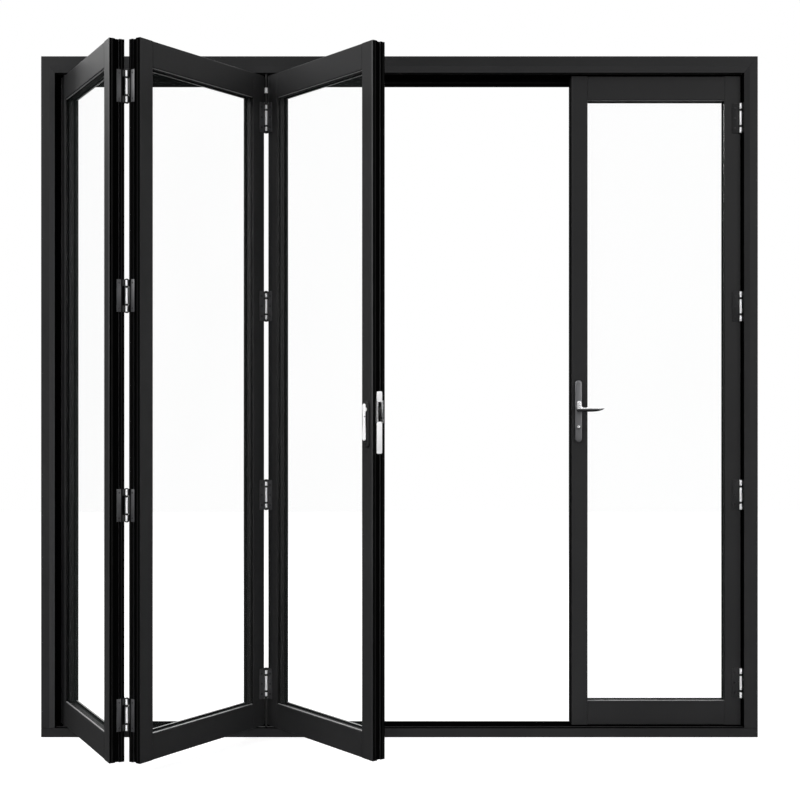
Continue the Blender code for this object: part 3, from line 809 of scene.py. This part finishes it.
def buildGlazing(leafName, leaf):
    place, body = leaf["place"], leaf["body"]
    low, high = localBox(place, leafName + "_glass")
    rim = ((low.x, low.z), (high.x, high.z))
    pane = glazing["pane"]

    panes = Shapes()
    for start in (low.y, high.y - pane):
        panes.block(place, (low.x, start, low.z), (high.x, start + pane, high.z), 0.0007, 1)
    newPiece(leafName + "_panes", panes, glass, body, [leafName + "_glass"])

    inner, outer = low.y + pane, high.y - pane
    start = glazing["sealant"]
    end = start + glazing["spacer"]
    notch = glazing["spacerNotch"]
    centre = (inner + outer) / 2
    bar = Shapes()
    bar.surround(place, *rim, [
        (start, inner + 0.0002),
        (end - notch, inner + 0.0002),
        (end, inner + notch),
        (end, centre - 0.0016),
        (end - 0.0006, centre - 0.0010),
        (end - 0.0006, centre + 0.0010),
        (end, centre + 0.0016),
        (end, outer - notch),
        (end - notch, outer - 0.0002),
        (start, outer - 0.0002),
    ])
    newPiece(leafName + "_spacer", bar, spacerFinish, body)

    sealant = Shapes()
    near, far = inner + 0.0001, outer - 0.0001
    sealant.surround(place, *rim, [(0.0005, near), (start, near), (start, far), (0.0005, far)])
    stile = localBox(place, leafName + "_stile_left")[1].x
    rail = localBox(place, leafName + "_rail_bottom")[1].z
    sight = ((stile, rail), (leaf["size"].x - stile, leaf["size"].z - rail))
    shown = glazing["gasketSight"]
    for face, out in ((low.y, -1), (high.y, 1)):
        sealant.surround(place, *sight, [
            (-0.004, face + out * 0.00005),
            (shown, face + out * 0.00005),
            (shown * 0.9, face + out * 0.0007),
            (shown * 0.35, face + out * 0.0019),
            (0.0002, face + out * 0.0022),
            (-0.004, face + out * 0.0002),
        ])
    newPiece(leafName + "_gaskets", sealant, rubber, body)

    # thin strips along both sides of the glass, which carry painted highlight lines along the rails
    strips = Shapes()
    rise = glazing["stripRise"]
    deep = glazing["stripDepth"]
    for start in (low.y - 0.0010 - deep, high.y + 0.0024):
        end = start + deep
        strips.surround(place, *sight, [
            (-0.0005, start),
            (rise * 0.7, start),
            (rise, start + 0.0004),
            (rise, end - 0.0004),
            (rise * 0.7, end),
            (-0.0005, end),
        ])
    newPiece(leafName + "_glazing_strips", strips, stripHighlightFinish, body)

    # the bead that holds the glass from the inner side
    back = leaf["size"].y - glazing["beadSetback"]
    seat = high.y + 0.0003
    height = glazing["beadHeight"]
    curve = []
    soft = glazing["beadRound"]
    for step in range(6):
        angle = math.pi / 2 * step / 5
        curve.append((-soft + soft * math.cos(angle), back - soft + soft * math.sin(angle)))
    bead = Shapes()
    bead.surround(place, *sight, [(-height, seat), (0, seat)] + curve + [(-height, back)])
    newPiece(leafName + "_bead", bead, leaf["coat"], body)


for leafName, leaf in leaves.items():
    buildGlazing(leafName, leaf)
print("glazing built")


# seals on the leaves' narrow sides and on the frame's stops

seals = {
    "edgeWidth": 0.0045,
    "edgeRise": 0.0030,
    "hingeEdgeRise": 0.0013,
    "stopWidth": 0.007,
    "stopRise": 0.0028,
    "edgeInset": 0.0085,
    "stopFace": 0.031,
    "stopInset": 0.011,
}


def bulb(out, width, rise, steps=6):
    points = [(-width / 2, -0.0003)]
    for step in range(steps + 1):
        angle = math.pi * (1 - step / steps)
        points.append((width / 2 * math.cos(angle), rise * math.sin(angle)))
    points.append((width / 2, -0.0003))
    return {"out": out, "points": points}


def buildSeals():
    for leafName, leaf in leaves.items():
        size = leaf["size"]
        shapes = Shapes()
        for side, x in ((-1, 0.0), (1, size.x)):
            for y in (seals["edgeInset"], size.y - seals["edgeInset"]):
                rise = seals["hingeEdgeRise" if (leafName, side) == ("door", 1) else "edgeRise"]
                section = bulb((side, 0, 0), seals["edgeWidth"], rise)
                shapes.strip(leaf["place"], (x, y, 0.003), (x, y, size.z - 0.003), section)
        newPiece(leafName + "_edge_seals", shapes, rubber, leaf["body"])

    stops = Shapes()
    still = Matrix.Identity(4)
    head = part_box("frame_head")[0].z
    sill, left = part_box("frame_jamb_left")[0].z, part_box("frame_jamb_left")[1].x
    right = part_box("frame_jamb_right")[0].x
    face, inset = seals["stopFace"], seals["stopInset"]
    section = bulb((0, -1, 0), seals["stopWidth"], seals["stopRise"])
    for x in (left - inset + 0.002, right + inset - 0.002):
        stops.strip(still, (x, face, sill + 0.001), (x, face, head + inset), section)
    stops.strip(still, (left, face, head + inset), (right, face, head + inset), section)
    newPiece("stop_seals", stops, rubber, "frame")


buildSeals()
print("seals built")


hinge = {
    "barrel": 0.0037,
    "pinOffset": 0.0055,
    "leafGap": 0.004,
    "knuckleEnd": 0.0225,
    "ring": 0.0060,
    "ringDepth": 0.0007,
    "ringRise": 0.0014,
    "lipReach": 0.0035,
    "flapWidth": 0.026,
    "flapThickness": 0.0022,
    "plateWidth": 0.0150,
    "plateSetback": 0.008,
    "plateThickness": 0.0014,
    "screw": 0.0033,
    "flapStart": 0.0045,
    "flapRound": 0.0035,
    "seat": 0.0003,
    "sides": 28,
}


def barrelProfile(half, low=None, high=None):
    # a barrel with a groove for each ring inside its length, and domed ends
    low = -half if low is None else low
    high = half if high is None else high
    radius = hinge["barrel"]
    points = [(0, low)]
    points += [(radius * 0.55, low), (radius * 0.86, low + 0.0006), (radius, low + 0.0018)]
    for level in (-(half - hinge["knuckleEnd"]), half - hinge["knuckleEnd"]):
        if low < level < high:
            gap = hinge["ring"] / 2
            root = radius - hinge["ringDepth"]
            points += [(radius, level - gap), (root, level - gap), (root, level + gap), (radius, level + gap)]
    points += [(radius, high - 0.0018), (radius * 0.86, high - 0.0006), (radius * 0.55, high), (0, high)]
    return points


def buildRings(shapes, place, half, cap):
    # black washers between the knuckles, and a black cap on each end
    gap = hinge["ring"] / 2 - 0.0002
    rim = hinge["barrel"] + hinge["ringRise"]
    root = hinge["barrel"] - hinge["ringDepth"] - 0.0004
    soft = 0.0005
    for level in (-(half - hinge["knuckleEnd"]), half - hinge["knuckleEnd"]):
        shapes.turned(place, [
            (root, level - gap), (rim - soft, level - gap), (rim, level - gap + soft),
            (rim, level + gap - soft), (rim - soft, level + gap), (root, level + gap), (root, level - gap),
        ], 28)
    for end in (-1, 1):
        top = end * (half + 0.0003)
        shapes.turned(place, [
            (0, top), (rim * 0.6, top), (rim * 0.9, top - end * 0.0008), (rim, top - end * 0.002),
            (rim, top - end * cap), (rim - soft, top - end * (cap + soft)), (0, top - end * (cap + soft)),
        ], 28)


def knuckleSpans(half, outer, clear=0.002):
    # the heights of the two outer knuckles, or of the middle one
    split = half - hinge["knuckleEnd"]
    if outer:
        return [(clear - half, -split - clear), (split + clear, half - clear)]
    return [(clear - split, split - clear)]


def buildStackHinges(name, count, leftLeaf, rightLeaf, faceY, withPlates, flapFinish, cap):
    left, right = leaves[leftLeaf], leaves[rightLeaf]
    thickness = left["size"].y
    behind = faceY > 0
    face = thickness if behind else 0.0
    pinY = thickness + hinge["pinOffset"] if behind else -hinge["pinOffset"]
    wide = left["size"].x
    pin = left["place"] @ Vector((wide + hinge["leafGap"] / 2, pinY, 0))
    barrels, rings, flaps, plates, arms, screws = [Shapes() for _ in range(6)]
    for row in range(count):
        low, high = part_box(f"{name}_{row + 1}")
        middle = (low.z + high.z) / 2
        half = (high.z - low.z) / 2
        place = Matrix.Translation((pin.x, pin.y, middle))
        barrels.turned(place, barrelProfile(half), hinge["sides"])
        buildRings(rings, place, half, cap)
        z = middle - left["place"].translation.z
        for leaf, side in ((left, -1), (right, 1)):
            pinX = leaf["size"].x + hinge["leafGap"] / 2 if side < 0 else -hinge["leafGap"] / 2
            buildFlap(flaps, screws, leaf["place"], pinX, side, face, faceY, z, half, not behind)
            if withPlates:
                buildEndPlate(plates, arms, screws, leaf["place"], pinX, side, thickness, z, half)
    stood = [f"{name}_{row + 1}" for row in range(count)]
    newPiece(name + "_barrels", barrels, paintedSheenSteel, "frame", stood)
    newPiece(name + "_rings", rings, nylon, "frame")
    newPiece(name + "_flaps", flaps, flapFinish, "frame")
    newPiece(name + "_screws", screws, darkScrew, "frame")
    if withPlates:
        newPiece(name + "_end_plates", plates, hingeGrey, "frame")
        newPiece(name + "_arms", arms, nylon, "frame")


def buildFlap(shapes, screws, place, pinX, side, face, out, z, half, lipped=False):
    # a flap on a leaf's face, its corners rounded, with a lip that meets the barrel
    thickness = hinge["flapThickness"]
    near = pinX + side * hinge["flapStart"]
    far = pinX + side * hinge["flapWidth"]
    start = face + out * hinge["seat"]
    outline = softRectangle(abs(far - near), 2 * half - 0.002, hinge["flapRound"])
    turn = place @ Matrix.Translation(((near + far) / 2, start, z))
    if out < 0:
        turn = turn @ Matrix.Rotation(math.pi, 4, "Z")
    shapes.prism(turn, outline, thickness, 0.0007)
    top = start + out * thickness
    lip = place @ Matrix.Translation(((near + pinX) / 2, (start + top) / 2, z))
    reach, deep = abs(near - pinX) / 2 + 0.0012, thickness / 2 - 0.0003
    for bottom, upper in knuckleSpans(half, side > 0):
        shapes.block(lip, (-reach, -deep, bottom), (reach, deep, upper), 0.0004)
    if lipped:
        # the web that closes the gap behind the barrel
        web, tall = hinge["lipReach"], half - 0.001
        behind = place @ Matrix.Translation((pinX, start - out * 0.0012, z))
        shapes.block(behind, (-web, -0.0009, -tall), (web, 0.0009, tall), 0.0004)
    for level in (-0.66, 0.0, 0.66):
        spot = Vector(((near + far) / 2 + side * 0.002, top, z + level * half))
        screwHead(screws, place @ towards(spot, (0, out, 0)), hinge["screw"])


def buildEndPlate(shapes, arms, screws, place, pinX, side, thickness, z, half):
    # a crowned plate on the leaf's narrow side, with flat arms that reach back to the barrel
    face = pinX + side * hinge["leafGap"] / 2
    out = -side
    start = face + out * 0.0003
    far = thickness - hinge["plateSetback"] - hinge["plateWidth"]
    near = thickness - hinge["plateSetback"]
    crown = []
    steps = 10
    for step in range(steps + 1):
        share = step / steps
        rise = hinge["plateThickness"] * (0.25 + 0.75 * math.sin(math.pi * (0.08 + 0.84 * share)))
        crown.append((far + (near - far) * share, rise))
    shape = bmesh.new()
    tall = half - 0.002
    rings = []
    for level, scale in ((-tall, 0.45), (-tall + 0.0014, 1.0), (tall - 0.0014, 1.0), (tall, 0.45)):
        ring = [shape.verts.new((start + out * rise * scale, y, z + level)) for y, rise in crown]
        ring += [shape.verts.new((start, near, z + level)), shape.verts.new((start, far, z + level))]
        rings.append(ring)
    loft(shape, rings)
    shapes.take(shape, place)

    reach = thickness + hinge["pinOffset"]
    thin = hinge["plateThickness"] - 0.0003
    left, right = sorted((start, start + out * thin))
    for bottom, top in knuckleSpans(half, side < 0):
        arms.block(place, (left, near - 0.0005, z + bottom), (right, reach, z + top), 0.0004)
    for level in (half - 0.012, -half + 0.012):
        spot = Vector((start + out * (hinge["plateThickness"] - 0.0004), (near + far) / 2, z + level))
        screwHead(screws, place @ towards(spot, (out, 0, 0)), 0.0026, 0.0008)


buildStackHinges("hinge_1_2", 4, "leaf_1", "leaf_2", 1, True, hingeGrey, 0.0030)
buildStackHinges("hinge_2_3", 4, "leaf_2", "leaf_3", -1, False, hingeGrey, 0.0070)


hanger = {
    "width": 0.019,
    "thickness": 0.004,
    "setback": 0.0075,
    "gap": 0.0015,
    "nut": 0.0052,
    "nutLow": 1.9900,
    "nutHigh": 2.0070,
}


def buildHanger():
    # black brackets tie the carriage and the guide to the hinges, and a bright nut sits on the stem
    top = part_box("hinge_2_3_4")[1].z
    low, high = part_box("track_carriage")
    pinX, pinY = (low.x + high.x) / 2, (low.y + high.y) / 2
    leafLow = leaves["leaf_2"]["place"].translation.z
    leafTop = leafLow + leaves["leaf_2"]["size"].z
    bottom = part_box("hinge_2_3_1")[0].z
    half = hanger["width"] / 2
    back = pinY + hanger["setback"]
    gap = hanger["gap"]
    brackets = Shapes()
    still = Matrix.Identity(4)
    for start, end in ((top + gap, leafTop - gap), (leafLow + gap, bottom - gap)):
        front = (pinX - half, back, start)
        brackets.block(still, front, (pinX + half, back + hanger["thickness"], end), 0.0008)
    newPiece("hanger_brackets", brackets, nylon, "frame")
    nut = Shapes()
    low, high, wide = hanger["nutLow"], hanger["nutHigh"], hanger["nut"]
    nut.turned(Matrix.Translation((pinX, pinY, 0)), [
        (0, low), (wide * 0.8, low), (wide, low + 0.001), (wide, high - 0.001), (wide * 0.8, high), (0, high),
    ], 24)
    newPiece("hanger_nut", nut, paintedSheenSteel, "frame")


buildHanger()


doorHinge = {
    "cap": 0.0012,
    "plate": 0.0018,
    "plateEnd": 0.0062,
    "bridgeStart": 0.0036,
    "bridgeFront": 0.007,
    "bridgeBack": 0.001,
    "screwLevels": (-0.036, -0.012, 0.012, 0.036),
    "screw": 0.0024,
}


def buildDoorHinges():
    pin = jointPlace("door_swing")
    leaf = leaves["door"]
    fixed, moving, flaps, screws, plates, plateScrews, rings = [Shapes() for _ in range(7)]
    still = Matrix.Identity(4)
    sides, gap = hinge["sides"], hinge["ring"] / 2
    for row in range(4):
        low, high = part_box(f"door_hinge_jamb_{row + 1}")
        middle, half = (low.z + high.z) / 2, (high.z - low.z) / 2
        split = half - hinge["knuckleEnd"]
        place = Matrix.Translation((pin.x, pin.y, middle))
        fixed.turned(place, barrelProfile(half, -half, -split - gap), sides)
        fixed.turned(place, barrelProfile(half, split + gap, half), sides)
        moving.turned(place, barrelProfile(half, -split + gap, split - gap), sides)
        buildRings(rings, place, half, doorHinge["cap"])
        there = leaf["place"].inverted() @ Vector((pin.x, pin.y, middle))
        buildFlap(flaps, screws, leaf["place"], there.x, -1, 0.0, -1, there.z, half)
        wall = high.x
        front, back = wall - doorHinge["plate"], pin.y - doorHinge["plateEnd"]
        tall = half - 0.001
        plates.block(still, (front, low.y, middle - tall), (wall, back, middle + tall), 0.0006)
        near = (pin.x + doorHinge["bridgeStart"], pin.y - doorHinge["bridgeFront"])
        far = (wall, pin.y + doorHinge["bridgeBack"])
        for bottom, top in knuckleSpans(half, True, 0.001):
            plates.block(still, (*near, middle + bottom), (*far, middle + top), 0.0005)
        for level in doorHinge["screwLevels"]:
            spot = Vector((front, (low.y + back) / 2, middle + level))
            screwHead(plateScrews, towards(spot, (-1, 0, 0)), doorHinge["screw"], 0.0006)
    jambHalves = [f"door_hinge_jamb_{row + 1}" for row in range(4)]
    leafHalves = [f"door_hinge_leaf_{row + 1}" for row in range(4)]
    newPiece("door_hinge_knuckles_fixed", fixed, paintedSheenSteel, "frame", jambHalves)
    newPiece("door_hinge_rings", rings, nylon, "frame")
    newPiece("door_hinge_jamb_plates", plates, frameCoat, "frame")
    newPiece("door_hinge_jamb_screws", plateScrews, darkScrew, "frame")
    newPiece("door_hinge_knuckles_moving", moving, paintedSheenSteel, "door_leaf", leafHalves)
    newPiece("door_hinge_flaps", flaps, leaf["coat"], "door_leaf")
    newPiece("door_hinge_screws", screws, darkScrew, "door_leaf")


buildDoorHinges()
print("hinges built")


handle = {
    "plateSoften": 0.0030,
    "leverLength": 0.074,
    "leverThickness": 0.010,
    "leverRound": 0.0044,
    "leverTip": 0.004,
    "leverTaper": 4.5,
    "hubRise": 0.023,
    "hubShift": 0.003,
    "hubWidth": 0.014,
    "armTop": 0.0018,
    "armDepth": 0.013,
    "screwFromEnd": 0.011,
    "collar": 0.0088,
    "collarRise": 0.0016,
    "collarBore": 0.0072,
    "neck": 0.0068,
    "neckEnd": 0.0062,
    "plug": 0.0038,
    "keyway": (0.0012, 0.0048),
}


def leverShape():
    # the cranked lever from the front, and how far each point's edge may round over
    half = handle["hubWidth"] / 2
    top, low = handle["armTop"], handle["armTop"] - handle["armDepth"]
    long, tip, rise = handle["leverLength"], handle["leverTip"], handle["hubRise"]
    sweep = rise - 2 * half - top
    corner = handle["leverRound"]
    points = []

    def arc(x, z, radius, start, end, steps):
        for step in range(steps + 1):
            angle = math.pi * (start + (end - start) * step / steps)
            points.append((x + radius * math.cos(angle), z + radius * math.sin(angle)))

    shift = handle["hubShift"]
    arc(-shift, rise - half, half, 0, 1, 12)
    arc(corner - half - shift, low + corner, corner, 1, 1.5, 6)
    steps = 12
    for step in range(steps + 1):
        share = step / steps
        belly = low + (handle["armDepth"] - tip) * share ** handle["leverTaper"]
        points.append((half + (long - half) * share, belly))
    arc(long - tip * 0.4, top - tip * 0.4, tip * 0.4, 0, 0.5, 3)
    for step in range(1, 5):
        points.append((long + (half + sweep - shift - long) * step / 5, top))
    arc(half + sweep - shift, top + sweep, sweep, 1.5, 1, 8)
    limits = []
    for x, z in points:
        share = min(1, max(0, (x - half) / (long - half)))
        thick = handle["armDepth"] - (handle["armDepth"] - tip) * share ** handle["leverTaper"]
        limits.append(min(handle["leverRound"], 0.46 * thick))
    return points, limits


def buildLever(side, out):
    axis = jointPlace("lever_press")
    low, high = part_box("lever_" + side)
    face = low.y if out < 0 else high.y
    place = Matrix.Translation((axis.x, face, axis.z))
    if out > 0:
        place = place @ Matrix.Scale(-1, 4, (0, 1, 0))
    points, limits = leverShape()
    lever = Shapes()
    lever.pillow(place, points, handle["leverThickness"], handle["leverRound"], 0.0012, limits)
    reach = high.y - low.y
    neck, end = handle["neck"], handle["neckEnd"]
    lever.turned(place @ Matrix.Rotation(-math.pi / 2, 4, "X"), [
        (0, 0.004), (neck, 0.004), (neck, reach - 0.006), (end, reach - 0.0045), (end, reach), (0, reach),
    ], 28)
    newPiece("lever_handle_" + side, lever, leverSteel, "lever", ["lever_" + side])


def buildBackplate(side, out):
    # the plate with its two screws, and the collar round the lever's neck
    low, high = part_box("handle_plate_" + side)
    middle = (low + high) / 2
    size = high - low
    top = (high.y if out < 0 else low.y) + out * size.y
    base = Matrix.Translation((middle.x, top, middle.z))
    if out > 0:
        base = base @ Matrix.Scale(-1, 4, (0, 1, 0))
    plate = Shapes()
    plate.pillow(base, stadium(size.x, size.z), size.y, handle["plateSoften"])
    reach = size.z / 2 - handle["screwFromEnd"]
    for level in (reach, -reach):
        screwHead(plate, towards((middle.x, top, middle.z + level), (0, out, 0)), 0.0034, 0.0010)
    newPiece("backplate_" + side, plate, satinSteel, "door_leaf", ["handle_plate_" + side])
    trim = Shapes()
    collar, rise, bore = handle["collar"], handle["collarRise"], handle["collarBore"]
    trim.turned(towards((middle.x, top, jointPlace("lever_press").z), (0, out, 0)), [
        (bore, 0), (bore, rise), (collar - 0.0006, rise), (collar, rise * 0.5),
        (collar, -0.0005), (bore, -0.0005), (bore, 0),
    ], 32)
    newPiece("backplate_trim_" + side, trim, satinSteel, "door_leaf")


def buildCylinder(side, out):
    # the lock cylinder, its bright plug, which is a painted highlight, and the dark keyway, a black sheet
    # standing for the shade in the key slot
    low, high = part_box("lock_cylinder_" + side)
    centre = (low + high) / 2
    long = high.y - low.y
    radius = (high.x - low.x) / 2
    place = towards((centre.x, high.y if out < 0 else low.y, centre.z), (0, out, 0))
    lock = Shapes()
    lock.turned(place, [
        (0, 0), (radius, 0), (radius, long - 0.0008), (radius - 0.0008, long), (radius * 0.70, long),
        (radius * 0.66, long - 0.0006), (radius * 0.60, long - 0.0002), (0, long),
    ], 32)
    newPiece("cylinder_" + side, lock, satinSteel, "door_leaf", ["lock_cylinder_" + side])
    # the plug's bright steel is a painted highlight on the cylinder's face
    plug = Shapes()
    wide, low, high = handle["plug"], long - 0.001, long + 0.0005
    plug.turned(place, [(0, low), (wide, low), (wide, high - 0.0003), (wide - 0.0004, high), (0, high)], 24)
    newPiece("cylinder_plug_" + side, plug, paintedSheenSteel, "door_leaf")
    # a thin black sheet on the plug stands for the shade in the key slot
    key = Shapes()
    upright = Matrix.Rotation(-math.pi / 2, 4, "X") @ Matrix.Scale(-1, 4, (0, 1, 0))
    slot = place @ Matrix.Translation((0, 0, high - 0.0001)) @ upright
    key.prism(slot, softRectangle(*handle["keyway"], 0.0005, 3), 0.0004)
    newPiece("keyway_" + side, key, nylon, "door_leaf")


def buildHandles():
    for side, out in (("outer", -1), ("inner", 1)):
        buildLever(side, out)
        buildBackplate(side, out)
        buildCylinder(side, out)


buildHandles()


bolt = {
    "endWidth": 0.0120,
    "waist": 0.0088,
    "thickness": 0.0050,
    "round": 0.0022,
    "boss": 0.0070,
    "breakDrop": 0.0200,
    "settle": 0.0040,
    "headRise": 0.0070,
    "tailDrop": 0.0040,
}


def buildBoltLever(leaf):
    place = leaf["place"]
    pivot = place.inverted() @ jointPlace("bolt_turn")
    low, high = localBox(place, "bolt_lever")
    top, bottom = high.z - pivot.z + bolt["headRise"], low.z - pivot.z - bolt["tailDrop"]
    wide = bolt["endWidth"] / 2
    outline = []
    steps = 40
    for side in (1, -1):
        for step in range(steps + 1):
            share = step / steps if side < 0 else 1 - step / steps
            share = 0.5 - 0.5 * math.cos(math.pi * share)
            z = top + (bottom - top) * share
            near = min(z - bottom, top - z)
            width = wide - (wide - bolt["waist"] / 2) * math.sin(math.pi * min(1, share * 1.15)) ** 2
            if near < wide:
                width = min(width, math.sqrt(max(0, wide ** 2 - (wide - near) ** 2)))
            if width > 0.0006:
                outline.append((side * width, z))
    lever = Shapes()
    base = place @ Matrix.Translation((pivot.x, low.y + bolt["settle"], pivot.z))
    limits = [min(bolt["round"], 0.9 * abs(x)) for x, z in outline]
    lever.pillow(base, outline, bolt["thickness"], bolt["round"], 0.0008, limits)
    reach = high.y - low.y - bolt["settle"]
    boss = bolt["boss"]
    lever.turned(base @ Matrix.Rotation(-math.pi / 2, 4, "X"), [
        (0, 0.003), (boss, 0.003), (boss, reach - 0.0006), (boss - 0.0006, reach), (0, reach),
    ], 28)
    newPiece("bolt_handle", lever, paintedSheenSteel, "bolt_lever", ["bolt_lever"])
    groove = Shapes()
    half = bolt["waist"] / 2 + 0.0012
    z = -bolt["breakDrop"]
    groove.block(base, (-half, 0.0002, z - 0.0012), (half, bolt["thickness"], z + 0.0012), 0.0005)
    newPiece("bolt_handle_band", groove, nylon, "bolt_lever")


keep = {
    "windowHeight": 0.030,
    "windowLength": 0.055,
    "windowWidth": 0.017,
    "round": 0.0035,
    "screw": 0.0032,
    "screwFromEnd": 0.010,
    "roller": 0.004,
}


def buildKeep(leaf):
    # the keep's face with its window, and the roller behind the window
    place = leaf["place"]
    low, high = localBox(place, "leaf_3_keep")
    middle, size = (low + high) / 2, high - low
    window, long, wide = keep["windowHeight"], keep["windowLength"], size.y
    quarter = Matrix.Rotation(-math.pi / 2, 4, "Z")
    upright = place @ Matrix.Translation((low.x, middle.y, middle.z)) @ quarter
    face = Shapes()
    below, above, half = window - long / 2, window + long / 2, size.z / 2
    for bottom, top in ((-half, below), (above, half)):
        outline = softRectangle(wide, top - bottom, keep["round"])
        face.prism(upright, shifted(outline, 0, (bottom + top) / 2), size.x, 0.0006)
    border = (wide - keep["windowWidth"]) / 2
    for side in (-1, 1):
        outline = softRectangle(border, long + 0.008, 0.0006)
        rail = side * (border + keep["windowWidth"]) / 2
        face.prism(upright, shifted(outline, rail, window), size.x - 0.0001, 0.0004)
    inset = keep["screwFromEnd"]
    for level in (half - inset, below - 0.012, inset - half):
        spot = (high.x, middle.y, middle.z + level)
        screwHead(face, place @ towards(spot, (1, 0, 0)), keep["screw"], 0.0008)
    newPiece("keep_face", face, paintedSheenSteel, "frame", ["leaf_3_keep"])
    details = Shapes()
    radius = keep["roller"]
    spot = place @ Matrix.Translation((low.x + 0.0008, middle.y, middle.z + window))
    details.turned(spot, [
        (0, -0.012), (radius - 0.0005, -0.012), (radius, -0.011),
        (radius, 0.011), (radius - 0.0005, 0.012), (0, 0.012),
    ], 20)
    newPiece("keep_details", details, darkScrew, "frame")


def buildBoltPlate(leaf):
    place = leaf["place"]
    low, high = localBox(place, "bolt_plate")
    middle, size = (low + high) / 2, high - low
    plate = Shapes()
    base = place @ Matrix.Translation((middle.x, high.y, middle.z)) @ Matrix.Rotation(math.pi, 4, "Z")
    plate.prism(base, stadium(size.x, size.z), size.y, 0.0014, 3)
    newPiece("bolt_backplate", plate, leaf["coat"], "frame", ["bolt_plate"])
    trim = Shapes()
    reach = size.z / 2 - 0.010
    for level in (reach, -reach):
        spot = (middle.x, low.y, middle.z + level)
        screwHead(trim, place @ towards(spot, (0, -1, 0)), keep["screw"], 0.0010)
    newPiece("bolt_plate_screws", trim, darkScrew, "frame")


for build in (buildKeep, buildBoltLever, buildBoltPlate):
    build(leaves["leaf_3"])
print("handles and bolt built")
